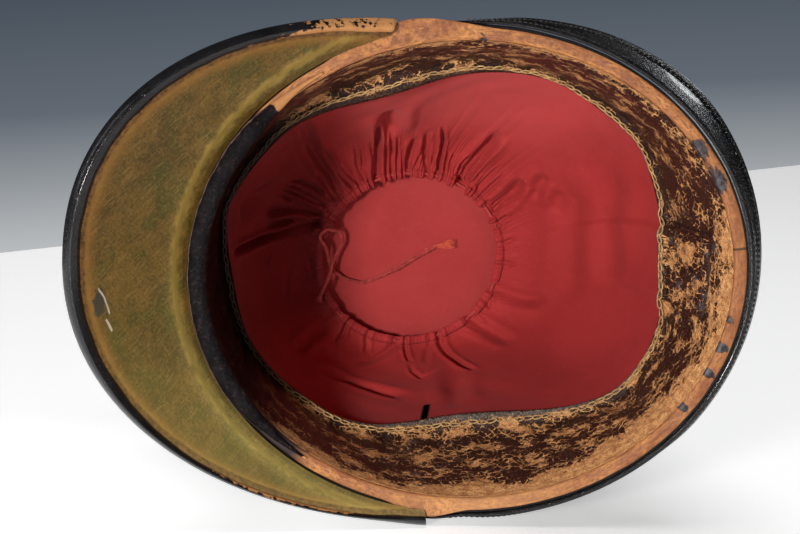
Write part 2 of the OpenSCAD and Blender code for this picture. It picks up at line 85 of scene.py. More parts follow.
# ---------------------------------------------------------------- curves
def sind(a):
    return np.sin(np.radians(a))


def cosd(a):
    return np.cos(np.radians(a))


def mix(a, b, k):
    """a at k = 0 and b at k = 1, straight between."""
    return a + (b - a) * k


def ease(k):
    """Smooth step from 0 at k = 0 to 1 at k = 1."""
    c = np.clip(k, 0, 1)
    return c * c * (3 - 2 * c)


def turn(t):
    """An angle in degrees as -180 to 180. 0 is the back, 90 the wearer's left, 180 the front."""
    return (np.asarray(t, float) + 180) % 360 - 180


def bump(t, at, width):
    """1 at an angle, falling to 0 a width away from it."""
    return ease(1 - np.abs(turn(t - at)) / width)


def ring(n):
    return np.linspace(0, 360, n, endpoint=False)


def region(t, at, values):
    """Values that are given at some angles, with straight steps between."""
    return np.interp(np.asarray(t, float) % 360, at, values)


def outward(t):
    """Outward direction of the side in plan."""
    v = np.stack([sind(t) / RIM_B, cosd(t) / RIM_A], -1)
    return v / np.linalg.norm(v, axis=-1, keepdims=True)


def plane_z(y):
    """Level of the crown's plane."""
    return MID + SLOPE * (y + FORWARD)


def top_z(t):
    """Height of the side at an angle."""
    return plane_z(CROWN_A * cosd(t) - FORWARD)


def pts(x, y, z):
    """Points with the coordinates in their last axis."""
    x, y, z = np.broadcast_arrays(x, y, z)
    return np.stack([x, y, z], -1).astype(float)


def wall_xy(t, h, d):
    """Plan of the side at a share h of its height, d out from the felt's inner face."""
    t, h, d = np.broadcast_arrays(np.asarray(t, float), h, d)
    o = outward(t)
    bow = d - np.interp(h, [0, 0.38, 0.7, 1], [0, WAIST, WAIST, 0])
    return (mix(RIM_B, CROWN_B, h) * sind(t) + bow * o[..., 0],
            mix(RIM_A, CROWN_A, h) * cosd(t) - FORWARD * h + bow * o[..., 1])


def wall(t, h, d):
    """Point of the side at a share h of its height, d out from the felt's inner face."""
    x, y = wall_xy(t, h, d)
    return pts(x, y, h * top_z(t))


def wall_at(t, z, d):
    """The same at a height z."""
    x, y = wall_xy(t, z / top_z(t), d)
    return pts(x, y, z)


def crown(t, d, rise):
    """Point of the crown's edge, d out from the felt's inner face."""
    x, y = wall_xy(t, 1.0, d)
    return pts(x, y, plane_z(y) + rise)


def lip(t, level):
    """Point of the crown's inner edge, a level above or below the sunk disc's plane."""
    x, y = wall_xy(t, 1.0, -(CROWN_T + 3 * math.sin(TILT)))
    r = level - DISH_TOP
    return pts(x, y - r * math.sin(TILT), plane_z(y) + DISH_TOP / math.cos(TILT) + r * math.cos(TILT))


def plate(t, d, level, share):
    """Point of a flat plate in the crown's plane at a share of the way to its edge."""
    x, y = wall_xy(t, 1.0, d)
    x, y = x * share, (y + FORWARD) * share
    return pts(x, y - FORWARD, MID + SLOPE * y + level / math.cos(TILT))


def waves(t, seed, lo, hi, count=6):
    """Smooth periodic wobble of an angle in degrees, about -1 to 1."""
    rng = np.random.default_rng(seed)
    k, ph = rng.integers(lo, hi + 1, count), rng.uniform(0, 360, count)
    t = np.asarray(t, float)
    return sum(sind(a * t + b) for a, b in zip(k, ph)) / math.sqrt(count)


def ripples(x, y, seed, size, count=10):
    """Smooth wobble of a plane, with features of about that size, about -1 to 1."""
    rng = np.random.default_rng(seed)
    out = 0
    for _ in range(count):
        a, w, ph = rng.uniform(0, 2 * math.pi), rng.uniform(0.6, 1.6), rng.uniform(0, 2 * math.pi)
        out = out + np.sin((x * math.cos(a) + y * math.sin(a)) * 2 * math.pi * w / size + ph)
    return out / math.sqrt(count)


# ---------------------------------------------------------------- meshes
def new_object(name, verts, faces, material, angle=None, attrs=None, uvs=None, slot=None, replaces=()):
    """Smooth object that rides on the body. attrs are floats per point, uvs are per corner."""
    mesh = bpy.data.meshes.new(name)
    mesh.from_pydata((np.asarray(verts) * MM).tolist(), [], faces)
    mesh.update()
    mesh.polygons.foreach_set("use_smooth", [True] * len(mesh.polygons))
    if angle:
        mesh.set_sharp_from_angle(angle=math.radians(angle))
    for key, values in (attrs or {}).items():
        layer = mesh.attributes.new(key, "FLOAT", "POINT")
        layer.data.foreach_set("value", np.asarray(values, np.float32).ravel())
    if uvs is not None:
        layer = mesh.uv_layers.new(name="UVMap")
        layer.data.foreach_set("uv", np.asarray(uvs, np.float32).ravel())
    mesh.materials.append(material)
    obj = bpy.data.objects.new(name, mesh)
    bpy.context.scene.collection.objects.link(obj)
    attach(obj, "root")
    if replaces:
        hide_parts(*replaces)
    return obj


def grid(name, P, material, loop="", flip=False, uv=None, attrs=None, **kw):
    """Surface through a grid of points (u, v, 3). uv gives its size along u and v in mm.

    loop names the directions that run round: "u", "v" or "uv". With "v" alone the ends are closed.
    """
    nu, nv = P.shape[:2]
    steps_u, steps_v = nu - ("u" not in loop), nv - ("v" not in loop)
    a, b = np.meshgrid(np.arange(steps_u), np.arange(steps_v), indexing="ij")
    a, b = a.ravel(), b.ravel()
    a1, b1 = (a + 1) % nu, (b + 1) % nv
    quad = np.stack([a * nv + b, a1 * nv + b, a1 * nv + b1, a * nv + b1], 1)
    lu, lv = uv or (nu, nv)
    corners = [(a, b), (a + 1, b), (a + 1, b + 1), (a, b + 1)]
    uvs = np.stack([np.stack([i / steps_u * lu, j / steps_v * lv], 1) for i, j in corners], 1) * MM
    if flip:
        quad, uvs = quad[:, ::-1], uvs[:, ::-1]
    faces, uvs = quad.tolist(), uvs.reshape(-1, 2)
    if loop == "v":
        ends = [list(range(nv)), [(nu - 1) * nv + j for j in range(nv)][::-1]]
        faces += [end[::-1] if flip else end for end in ends]
        uvs = np.concatenate([uvs, np.zeros((2 * nv, 2))])
    attrs = {key: np.broadcast_to(values, (nu, nv)) for key, values in (attrs or {}).items()}
    return new_object(name, P.reshape(-1, 3), faces, material, attrs=attrs, uvs=uvs, **kw)


def resample(P, count, closed=True):
    """Even points along a line of points, in mm."""
    Q = np.vstack([P, P[:1]]) if closed else np.asarray(P)
    step = np.linalg.norm(np.diff(Q, axis=0), axis=1)
    s = np.concatenate([[0], np.cumsum(step)])
    at = np.linspace(0, s[-1], count + 1 if closed else count)
    if closed:
        at = at[:-1]
    return np.stack([np.interp(at, s, Q[:, i]) for i in range(3)], 1), s[-1]


def unit(v):
    return v / np.maximum(np.linalg.norm(v, axis=-1, keepdims=True), 1e-9)


def tube(P, r, sides, closed=False, lobes=0, twist=0.0, flat=None):
    """Rings of a tube along points P, turning with the line. r is a radius or one per point."""
    P = np.asarray(P, float)
    n = len(P)
    way = np.roll(P, -1, 0) - np.roll(P, 1, 0) if closed else np.gradient(P, axis=0)
    way = unit(way)
    a = unit(np.cross(way, [0.31, 0.17, 0.94]))
    b = np.cross(way, a)
    s = np.concatenate([[0], np.cumsum(np.linalg.norm(np.diff(P, axis=0), axis=1))])
    phi = np.linspace(0, 2 * math.pi, sides, endpoint=False)
    r = np.broadcast_to(np.asarray(r, float), (n,))[:, None]
    rad = r * (1 + (0.16 * np.cos(lobes * (phi[None] - twist * s[:, None])) if lobes else 0))
    flat = 1.0 if flat is None else np.broadcast_to(np.asarray(flat, float), (n,))[:, None]
    ca, cb = rad * np.cos(phi) * flat, rad * np.sin(phi)
    return P[:, None] + ca[..., None] * a[:, None] + cb[..., None] * b[:, None]


def many(name, shapes, material, **kw):
    """One object from many small grids, each closed across v, with its ends closed."""
    verts, faces, base = [], [], 0
    for P, loop in shapes:
        nu, nv = P.shape[:2]
        verts.append(P.reshape(-1, 3))
        for i in range(nu if loop else nu - 1):
            k = (i + 1) % nu
            for j in range(nv):
                m = (j + 1) % nv
                faces.append([base + i * nv + j, base + i * nv + m, base + k * nv + m, base + k * nv + j])
        if not loop:
            faces.append([base + j for j in range(nv)][::-1])
            faces.append([base + (nu - 1) * nv + j for j in range(nv)])
        base += nu * nv
    return new_object(name, np.concatenate(verts), faces, material, **kw)


def stitches(name, line, out, pitch, length, r, closed=True, **kw):
    """Row of single black stitches on a line of points. out is the surface's outward direction there."""
    line = np.asarray(line, float)
    total = resample(line, 8, closed)[1]
    count = max(4, int(round(total / pitch)))
    at, _ = resample(line, count * 4, closed)
    nor, _ = resample(line + unit(out), count * 4, closed)
    nor = unit(nor - at)
    rng = np.random.default_rng(len(line) + count)
    shapes = []
    for i in range(count - (0 if closed else 1)):
        c, n = at[i * 4 + 1], nor[i * 4 + 1]
        w = unit(at[(i * 4 + 2) % len(at)] - at[i * 4])
        side = np.cross(w, n)
        w = unit(w + side * rng.normal(0, 0.04))
        half = length / 2 * (1 + rng.normal(0, 0.05))
        s = np.linspace(-1, 1, 6)
        rise = (1 - s ** 4) * r * 1.5 - r - 0.05
        path = c + np.outer(s * half, w) + np.outer(rise, n)
        shapes.append((tube(path, r * (1 - 0.25 * s ** 2), 6), False))
    return many(name, shapes, M_BLACK_THREAD, slot="black_thread", **kw)


# ---------------------------------------------------------------- materials
class Tree:
    """A node tree with short ways to add nodes. Values may be numbers, tuples or sockets."""

    def __init__(self, owner):
        owner.use_nodes = True
        self.nodes, self.links = owner.node_tree.nodes, owner.node_tree.links

    def make(self, kind, inputs=(), **props):
        n = self.nodes.new("ShaderNode" + kind)
        for key, value in props.items():
            setattr(n, key, value)
        for key, value in dict(inputs).items():
            self.put(n.inputs[key], value)
        return n

    def put(self, socket, value):
        if isinstance(value, bpy.types.NodeSocket):
            self.links.new(value, socket)
        else:
            socket.default_value = value

    def coords(self, kind):
        return self.make("TexCoord").outputs[kind]

    def xyz(self, vec):
        return self.make("SeparateXYZ", {0: vec}).outputs

    def attr(self, name):
        return self.make("Attribute", attribute_name=name).outputs["Fac"]

    def math(self, op, a, b=0.0, c=0.0):
        return self.make("Math", {0: a, 1: b, 2: c}, operation=op).outputs[0]

    def mul(self, a, b):
        return self.math("MULTIPLY", a, b)

    def add(self, a, b):
        return self.math("ADD", a, b)

    def sub(self, a, b):
        return self.math("SUBTRACT", a, b)

    def rest(self, share):
        """What a share leaves of 1."""
        return self.sub(1.0, share)

    def swing(self, noise, amount):
        """Noise of 0 to 1 as a swing about 0, an amount wide."""
        return self.mul(self.sub(noise, 0.5), amount)

    def stretch(self, vec, scale, rot=(0, 0, 0)):
        return self.make("Mapping", {"Vector": vec, "Scale": scale, "Rotation": rot}).outputs[0]

    def ramp(self, fac, *stops, smooth=False):
        """Stops are pairs of a place and a colour or a grey."""
        n = self.make("ValToRGB", {"Fac": fac})
        n.color_ramp.interpolation = "EASE" if smooth else "LINEAR"
        els = n.color_ramp.elements
        while len(els) < len(stops):
            els.new(0.5)
        for el, (at, col) in zip(els, stops):
            el.position = at
            el.color = (col, col, col, 1) if isinstance(col, (int, float)) else (*col, 1)
        return n.outputs["Color"]

    def rise(self, fac, lo, hi, top=1.0, **kw):
        """A ramp from 0 at lo to a grey of top at hi."""
        return self.ramp(fac, (lo, 0.0), (hi, top), **kw)

    def step(self, value, lo, hi, kind="SMOOTHSTEP", top=1.0):
        """0 below lo and top above hi, or the other way round where lo is the greater."""
        ins = {"Value": value, "From Min": lo, "From Max": hi, "To Max": top}
        return self.make("MapRange", ins, interpolation_type=kind).outputs["Result"]

    def blend(self, fac, a, b, kind="MIX"):
        n = self.make("Mix", data_type="RGBA", blend_type=kind)
        self.put(n.inputs[0], fac)
        for socket, value in ((n.inputs[6], a), (n.inputs[7], b)):
            if isinstance(value, tuple) and len(value) == 3:
                value = (*value, 1)
            self.put(socket, value)
        return n.outputs[2]

    def finish(self, output, fac, a, b):
        """Sends a mix of two shaders to the output node."""
        both = self.make("MixShader", {0: fac, 1: a.outputs[0], 2: b.outputs[0]})
        self.put(self.nodes[output].inputs["Surface"], both.outputs[0])


class Paint(Tree):
    """A material with a Principled surface. Sizes and depths are in mm."""

    def __init__(self, name, **sockets):
        self.m = bpy.data.materials.new(name)
        super().__init__(self.m)
        self.b = self.nodes["Principled BSDF"]
        self.fill(sockets)
        self.pos = self.coords("Object")

    def fill(self, sockets):
        for key, value in sockets.items():
            self.put(self.b.inputs[key.replace("_", " ")], value)

    def noise(self, size, detail=3.0, rough=0.55, vec=None, warp=0.0):
        """Noise with features of about that size."""
        return self.make("TexNoise", {"Vector": vec or self.pos, "Scale": 1000.0 / size,
                         "Detail": detail, "Roughness": rough, "Distortion": warp}).outputs["Fac"]

    def shifted(self, vec, size, amount):
        """The same coordinates, pushed about by noise of that size."""
        n = self.make("TexNoise", {"Vector": vec, "Scale": 1000.0 / size, "Detail": 3.0})
        c = self.make("VectorMath", {0: n.outputs["Color"], 1: (0.5, 0.5, 0.5)}, operation="SUBTRACT")
        s = self.make("VectorMath", {0: c.outputs[0], "Scale": amount * MM}, operation="SCALE")
        return self.make("VectorMath", {0: vec, 1: s.outputs[0]}, operation="ADD").outputs[0]

    def cells(self, size, vec=None, feature="DISTANCE_TO_EDGE"):
        return self.make("TexVoronoi", {"Vector": vec or self.pos, "Scale": 1000.0 / size},
                         feature=feature).outputs["Distance"]

    def over(self, fac, colour, kind="MIX"):
        """Lays a colour over the material's own where fac is above 0."""
        self.color = self.blend(fac, self.color, colour, kind)

    def bump(self, height, depth):
        """Bump from a height of 0 to 1."""
        return self.make("Bump", {"Height": height, "Strength": 1.0, "Distance": depth * MM}).outputs[0]

    def done(self, rough, normal, **more):
        """Fills in what has been laid up and gives the material."""
        self.fill({"Base Color": self.color, "Roughness": rough, "Normal": normal, **more})
        return self.m


def patent(name, grain=1.3, crack=1.0, tone=(0.006, 0.0055, 0.007), worn=(0.34, 0.13, 0.04), wear=None,
           rough=(0.20, 0.40), level=0.30, coat=0.10, crinkle=0.5, pale=0.30):
    """Black varnished leather with fine cracks, rubbed to tan where the wear attribute says."""
    p = Paint(name, Specular_IOR_Level=level, Coat_Weight=coat, Coat_Roughness=0.10)
    vec = p.shifted(p.pos, 2.5, 1.0)
    lines = p.step(p.cells(grain, vec), 0.0, 0.09)
    hair = p.noise(0.8, 4)
    patches = p.noise(14, 4, 0.6)
    p.color = p.blend(p.rise(patches, 0.35, 0.75), tone, tuple(3 * c for c in tone))
    p.over(p.mul(p.rest(lines), pale), (0.060, 0.040, 0.032))
    roughness = p.add(p.mul(p.noise(5, 4, 0.6), rough[1] - rough[0]), rough[0])
    height = p.add(p.mul(lines, crack), p.mul(hair, crinkle))
    if wear:
        field = p.add(p.attr(wear), p.swing(p.noise(2.4, 6, 0.68), 1.2))
        mask = p.step(field, 0.50, 0.54)
        tan = p.blend(p.noise(4, 4), worn, (0.50, 0.24, 0.09))
        p.over(mask, tan)
        roughness = p.add(roughness, p.mul(mask, 0.35))
        height = p.sub(height, p.mul(mask, 1.3))
    return p.done(roughness, p.bump(height, 0.07 * max(1.0, crack)))


def tan_leather():
    """Natural leather turned in over the rim, handled until its old finish is nearly gone."""
    p = Paint("tan_leather", Specular_IOR_Level=0.35)
    long = p.stretch(p.coords("UV"), (0.65, 1.0, 1.0))
    p.color = p.blend(p.rise(p.noise(8, 4, 0.6, long), 0.38, 0.60), (0.26, 0.084, 0.028), (0.52, 0.215, 0.062))
    p.over(p.rise(p.noise(5, 4, 0.6, p.stretch(p.coords("UV"), (0.5, 1.0, 1.0), (0, 0, 0.02))), 0.50, 0.64, 0.75),
           (0.25, 0.092, 0.048))
    p.over(p.rise(p.noise(1.4, 6, 0.72, long), 0.46, 0.60, 0.90), (0.175, 0.058, 0.024))
    p.over(p.rise(p.noise(0.9, 4, 0.68), 0.58, 0.76, 0.5), (0.62, 0.37, 0.17))
    p.over(p.mul(p.attr("shade"), 0.52), (0.24, 0.080, 0.028))
    p.over(p.mul(p.attr("bare"), 0.30), (0.66, 0.34, 0.14))
    field = p.add(p.attr("stain"), p.swing(p.noise(3.0, 6, 0.7, long), 1.0))
    left = p.step(field, 0.50, 0.60)
    p.over(left, p.blend(p.rise(p.noise(2.2, 4), 0.4, 0.65), (0.020, 0.012, 0.014), (0.075, 0.066, 0.076)))
    p.over(p.mul(p.step(p.attr("seam"), 0.60, 0.80), 0.85), (0.030, 0.012, 0.008))
    p.over(p.attr("dark"), p.blend(p.noise(3, 5), (0.012, 0.006, 0.008), (0.040, 0.020, 0.022)))
    height = p.add(p.noise(0.6, 5, 0.6), p.mul(left, 0.8))
    rough = p.sub(0.62, p.mul(left, 0.25))
    return p.done(rough, p.bump(height, 0.20))


def sweat_leather():
    """Oxblood leather whose finish has crackled and flaked to the tan hide under it."""
    p = Paint("sweat_leather", Specular_IOR_Level=0.25)
    wear, edge = p.attr("wear"), p.attr("edge_mm")
    flat = p.shifted(p.coords("UV"), 9, 3.0)
    island = p.noise(11, 3, 0.5, p.stretch(flat, (1.05, 0.78, 1.0), (0, 0, 0.25)))
    mid = p.noise(2.8, 5, 0.70, p.stretch(flat, (1.0, 0.75, 1.0), (0, 0, -0.2)))
    fine = p.noise(0.65, 5, 0.74, p.stretch(flat, (1.1, 0.8, 1.0)))
    net = p.cells(3.4, p.shifted(p.stretch(flat, (1.1, 0.7, 1.0)), 1.5, 0.9))
    field = p.add(wear, p.swing(island, 3.3))
    field = p.add(field, p.swing(mid, 1.5))
    crack = p.rest(p.step(net, 0.02, 0.10))
    field2 = p.add(field, p.swing(fine, 2.0))
    field2 = p.add(field2, p.mul(crack, 0.42))
    bare = p.step(field2, 0.46, 0.68)
    dark = p.blend(p.rise(p.noise(9, 5, 0.6), 0.35, 0.7), (0.0070, 0.0032, 0.0032), (0.024, 0.0080, 0.0065))
    dark = p.blend(p.rise(fine, 0.48, 0.62, 0.72), dark, (0.105, 0.042, 0.022))
    dark = p.blend(p.mul(p.step(p.noise(6, 4, 0.6, p.shifted(p.pos, 5, 3)), 0.54, 0.66), p.attr("grey")), dark,
                   (0.060, 0.054, 0.060))
    tan = p.blend(p.rise(mid, 0.40, 0.60), (0.38, 0.155, 0.055), (0.70, 0.370, 0.145))
    tan = p.blend(p.ramp(fine, (0.42, 0.65), (0.55, 0.0)), tan, (0.17, 0.062, 0.028))
    p.color = p.blend(bare, dark, tan)
    strip = p.rest(p.step(p.add(edge, p.swing(mid, 3.0)), 1.5, 2.5))
    flecks = p.rise(p.noise(0.55, 3, 0.6, p.stretch(p.coords("UV"), (1.0, 0.35, 1.0))), 0.52, 0.68)
    worn = p.blend(flecks, p.blend(p.noise(4, 3), (0.018, 0.014, 0.015), (0.110, 0.098, 0.098)), (0.40, 0.29, 0.17))
    worn = p.blend(p.attr("pale"), p.blend(p.mul(flecks, 0.6), (0.014, 0.007, 0.006), (0.20, 0.10, 0.045)), worn)
    p.over(p.mul(strip, 0.92), worn)
    p.over(p.mul(p.step(p.attr("seam"), 0.66, 0.84), 0.9), (0.007, 0.004, 0.004))
    # painted shade: the front, which lies in the visor's shade, is darkened nearly to black
    p.over(p.mul(p.attr("painted_front_shade"), 0.94), (0.006, 0.003, 0.003))
    rough = p.add(p.mul(bare, 0.25), p.add(0.30, p.mul(p.noise(2, 4), 0.2)))
    height = p.sub(p.mul(fine, 1.6), p.add(bare, p.mul(crack, 0.5)))
    # painted shade also takes the shine off the front
    shine = p.mul(p.sub(1.05, p.attr("painted_front_shade")), 0.24)
    return p.done(rough, p.bump(height, 0.16), Specular_IOR_Level=shine)


def green_leather():
    """Green glazed leather under the visor, brushed in two directions and browned at its edge."""
    p = Paint("green_leather", Specular_IOR_Level=0.22)
    edge, root = p.attr("edge_mm"), p.attr("root_mm")
    p.color = p.blend(p.rise(p.noise(24, 4, 0.6), 0.34, 0.66, smooth=True), (0.085, 0.055, 0.009),
                      (0.155, 0.098, 0.017))
    p.over(p.rise(p.noise(6, 5, 0.65), 0.45, 0.8, 0.7), (0.215, 0.115, 0.026))

    def hatch(size, push, angle, squeeze):
        """Long thin streaks that lie at an angle in degrees."""
        flat = p.stretch(p.shifted(p.pos, size, push), (1, 1, 0), (0, 0, math.radians(angle)))
        return p.noise(0.42, 4, 0.6, p.stretch(flat, (1.0, squeeze, 1.0)))

    hatch_a, hatch_b = hatch(12, 4, 42, 0.045), hatch(15, 5, -50, 0.07)
    lines = p.math("MAXIMUM", hatch_a, p.mul(hatch_b, 0.93))
    p.over(p.rise(p.noise(13, 4, 0.6), 0.48, 0.66, 0.65, smooth=True), (0.070, 0.074, 0.010))
    grain = p.noise(0.95, 5, 0.72)
    p.over(p.ramp(grain, (0.36, 0.62), (0.49, 0.0)), (0.045, 0.032, 0.006))
    p.over(p.rise(grain, 0.53, 0.68, 0.50), (0.300, 0.205, 0.055))
    p.over(p.rise(lines, 0.56, 0.69, 0.58), (0.340, 0.235, 0.072))
    p.over(p.ramp(p.math("MINIMUM", hatch_a, hatch_b), (0.32, 0.40), (0.42, 0.0)), (0.036, 0.030, 0.007))
    p.over(p.mul(p.rest(p.step(edge, 4.5, 10.5)), 0.60), (0.320, 0.158, 0.030))
    # painted highlight: a pale yellow line along the raised ridge near the root
    wavy = p.add(root, p.swing(p.noise(5, 6, 0.7), 5.0))
    ridge = p.rest(p.step(p.math("ABSOLUTE", p.sub(wavy, 5.8)), 0.3, 2.6))
    p.over(p.mul(ridge, 0.75), (0.400, 0.290, 0.068))
    ragged = p.add(edge, p.swing(p.noise(2.4, 6, 0.65), 5.0))
    rim = p.rest(p.step(ragged, 3.9, 5.6))
    brown = p.blend(p.rise(p.noise(1.6, 6, 0.7), 0.40, 0.62), (0.050, 0.028, 0.010), (0.270, 0.130, 0.042))
    p.over(p.mul(rim, 0.85), brown)
    scuff = p.step(p.add(p.attr("scuff"), p.swing(p.noise(1.5, 6, 0.7), 0.9)), 0.5, 0.62)
    p.over(scuff, (0.050, 0.046, 0.034))
    scratch = p.step(p.add(p.attr("scratch"), p.swing(p.noise(0.7, 4, 0.7), 0.7)), 0.52, 0.6)
    p.over(scratch, (0.50, 0.46, 0.36))
    low = p.attr("low")
    p.over(p.rest(low), (0.70, 0.62, 0.58), "MULTIPLY")
    p.over(p.mul(low, 0.22), (0.36, 0.30, 0.12))
    height = p.add(p.mul(lines, 0.8), p.noise(0.9, 5, 0.6))
    rough = p.add(0.38, p.mul(p.noise(2.5, 4), 0.22))
    return p.done(rough, p.bump(height, 0.10))


def red_cloth(name, rib=0.85, base=(0.400, 0.034, 0.033), other=(0.330, 0.024, 0.026), slit=False):
    """Red cotton lining with a fine twill, a soft sheen, dust and faint stains, with painted shade at the front and
    painted light at the top.
    """
    p = Paint(name, Sheen_Weight=0.06, Sheen_Roughness=0.45, Sheen_Tint=(1.0, 0.5, 0.5, 1), Specular_IOR_Level=0.15)
    u, v, _ = p.xyz(p.coords("UV"))
    w = 2 * math.pi / (rib * MM)
    twill = p.math("SINE", p.add(p.mul(u, w), p.mul(v, w * 0.45)))
    warp = p.math("SINE", p.mul(v, w * 1.35))
    weave = p.add(p.mul(twill, 0.3), p.mul(warp, 0.2))
    slub = p.noise(1.2, 4, 0.6, p.stretch(p.pos, (1.0, 0.16, 1.0)))
    p.color = p.blend(p.rise(p.noise(26, 4, 0.55), 0.35, 0.7, smooth=True), base, other)
    p.over(p.add(0.30, p.mul(weave, 0.28)), (base[0] * 0.66, base[1] * 0.6, base[2] * 0.62))
    p.over(p.rise(slub, 0.55, 0.8, 0.35), (0.50, 0.070, 0.078))
    dust = p.step(p.cells(9, p.shifted(p.pos, 6, 5), "F1"), 0.035, 0.02)
    p.over(p.mul(dust, 0.45), (0.72, 0.42, 0.36))
    height = p.add(p.mul(weave, 0.6), p.noise(0.7, 4, 0.6))
    # painted shade: the front of the lining, in the visor's shade, is darkened
    p.over(p.mul(p.attr("painted_front_shade"), 0.50), (0.060, 0.005, 0.005))
    # painted light: the lining at the top, near the sweatband, is lightened where light falls on it
    p.over(p.mul(p.attr("painted_top_light"), 0.60), (0.60, 0.085, 0.082))
    p.over(p.mul(p.attr("soiled"), 0.30), (0.18, 0.013, 0.013))
    if slit:
        hole = p.attr("slit")
        p.over(p.step(hole, 0.62, 0.40), (0.115, 0.010, 0.012))
        p.over(p.step(hole, 0.12, -0.05), (0.002, 0.001, 0.001))
        cloth = p.step(hole, -0.05, 0.3)
        p.fill({"Sheen_Weight": p.mul(cloth, 0.06), "Specular_IOR_Level": p.mul(cloth, 0.15)})
    return p.done(0.78, p.bump(height, 0.045))


def thread(name, light, dark, rough=0.7):
    """Twisted thread of two tones."""
    p = Paint(name, Sheen_Weight=0.15, Specular_IOR_Level=0.3)
    n = p.noise(2.0, 5, 0.65)
    p.color = p.blend(p.rise(n, 0.38, 0.66), dark, light)
    # painted shade at the front, in the visor's shade; on the chain stitch this is partly dirt as well
    p.over(p.mul(p.attr("painted_front_shade"), 0.96), (0.022, 0.009, 0.006))
    ply = p.noise(0.35, 3, 0.5)
    return p.done(rough, p.bump(ply, 0.05))


def black_cloth():
    """Fine black wool cloth with a short nap, rubbed a little brown."""
    p = Paint("black_cloth", Sheen_Weight=0.35, Sheen_Roughness=0.4, Specular_IOR_Level=0.2)
    nap = p.noise(0.7, 5, 0.7)
    p.color = p.blend(p.rise(p.noise(30, 5, 0.6), 0.35, 0.75), (0.0085, 0.0085, 0.0105), (0.021, 0.018, 0.018))
    p.over(p.rise(nap, 0.5, 0.85, 0.5), (0.045, 0.043, 0.048))
    return p.done(0.9, p.bump(nap, 0.12))


def felt():
    """Brown felt of the body."""
    p = Paint("brown_felt", Sheen_Weight=0.2, Specular_IOR_Level=0.2)
    p.color = p.blend(p.noise(3, 5, 0.7), (0.030, 0.018, 0.012), (0.085, 0.055, 0.036))
    return p.done(0.95, p.bump(p.noise(0.8, 5, 0.7), 0.15))


def board(name="card_board", dark=(0.20, 0.13, 0.07), light=(0.34, 0.25, 0.15)):
    """Pasteboard, plain or blackened."""
    p = Paint(name, Specular_IOR_Level=0.2)
    p.color = p.blend(p.noise(2.2, 5, 0.7), dark, light)
    return p.done(0.9, p.bump(p.noise(0.8, 4, 0.6), 0.08))


def roll_leather():
    """Dark purple-black leather rolled over the front of the rim, tan where it runs out."""
    p = Paint("roll_leather", Specular_IOR_Level=0.10)
    creases = p.noise(1.4, 6, 0.68, warp=0.8)
    p.color = p.blend(p.rise(p.noise(7, 5, 0.6), 0.35, 0.7), (0.002, 0.0015, 0.002), (0.008, 0.006, 0.007))
    p.over(p.rise(p.noise(1.7, 6, 0.72), 0.52, 0.68, 0.75), (0.034, 0.022, 0.024))
    p.over(p.rise(p.noise(2.6, 6, 0.75), 0.62, 0.70, 0.80), (0.130, 0.055, 0.030))
    # A pale line along the roll's crest: partly rubbed leather, partly painted highlight.
    field = p.add(p.attr("crest_wear_and_highlight"), p.swing(p.noise(2.2, 7, 0.72), 1.2))
    p.over(p.mul(p.step(field, 0.50, 0.75), 0.85), (0.190, 0.118, 0.112))
    p.over(p.step(p.add(p.attr("tan"), p.swing(p.noise(3, 6), 0.8)), 0.45, 0.60),
           p.blend(p.noise(3, 4), (0.36, 0.150, 0.055), (0.56, 0.270, 0.110)))
    return p.done(p.add(0.46, p.mul(creases, 0.3)), p.bump(creases, 0.55))


M_BLACK = patent("patent_black")
M_BAND = patent("patent_band", tone=(0.004, 0.0038, 0.0045), rough=(0.42, 0.60), level=0.15, coat=0.0)
M_PEAK = patent("patent_peak", grain=1.5, crack=1.8, tone=(0.004, 0.0038, 0.0045), wear="wear",
                worn=(0.20, 0.10, 0.05), rough=(0.16, 0.34), level=0.35, coat=0.22, crinkle=1.7, pale=0.08)
M_BIND = patent("patent_binding", grain=1.2, crack=0.8, tone=(0.004, 0.0038, 0.0045), wear="wear",
                worn=(0.36, 0.145, 0.042), rough=(0.14, 0.34), level=0.3, coat=0.20, crinkle=1.2, pale=0.05)
M_TAN, M_SWEAT, M_GREEN = tan_leather(), sweat_leather(), green_leather()
M_SIDE = red_cloth("red_side_cloth", slit=True)
M_DISC = red_cloth("red_disc_cloth", rib=1.0, base=(0.455, 0.052, 0.050), other=(0.400, 0.042, 0.042))
M_HEM = red_cloth("red_hem_cloth", base=(0.400, 0.034, 0.036))
M_CHAIN = thread("chain_thread", (0.58, 0.365, 0.145), (0.26, 0.130, 0.048))
M_BLACK_THREAD = thread("black_thread", (0.060, 0.055, 0.055), (0.012, 0.010, 0.010), 0.55)
M_CORD = thread("red_cord", (0.50, 0.058, 0.045), (0.26, 0.020, 0.020))
M_TASSEL = thread("tassel_thread", (0.72, 0.125, 0.055), (0.50, 0.055, 0.032))
M_COVER, M_FELT, M_BOARD, M_ROLL = black_cloth(), felt(), board(), roll_leather()
M_EDGE = board("blackened_board", (0.010, 0.007, 0.006), (0.040, 0.026, 0.018))

# ---------------------------------------------------------------- camera
EYE, AIM, ROLL, FOCAL_PX = (168.8, -122.0, -944.0), (1.3, -25.9, 0.0), 2.83, 2667.5
fw = Vector(AIM) - Vector(EYE)
fw.normalize()
right = fw.cross(Vector((1, 0, 0))).normalized()
up = right.cross(fw)
c, s = math.cos(math.radians(ROLL)), math.sin(math.radians(ROLL))
right, up = right * c + up * s, up * c - right * s
cam_data = bpy.data.cameras.new("camera")
cam_data.sensor_fit, cam_data.sensor_width = "HORIZONTAL", 36.0
cam_data.lens = FOCAL_PX * 36.0 / 800
cam_data.clip_start, cam_data.clip_end = 0.01, 50.0
camera = bpy.data.objects.new("camera", cam_data)
camera.matrix_world = Matrix((
    (right.x, up.x, -fw.x, EYE[0] * MM), (right.y, up.y, -fw.y, EYE[1] * MM),
    (right.z, up.z, -fw.z, EYE[2] * MM), (0, 0, 0, 1)))
bpy.context.scene.collection.objects.link(camera)
bpy.context.scene.camera = camera

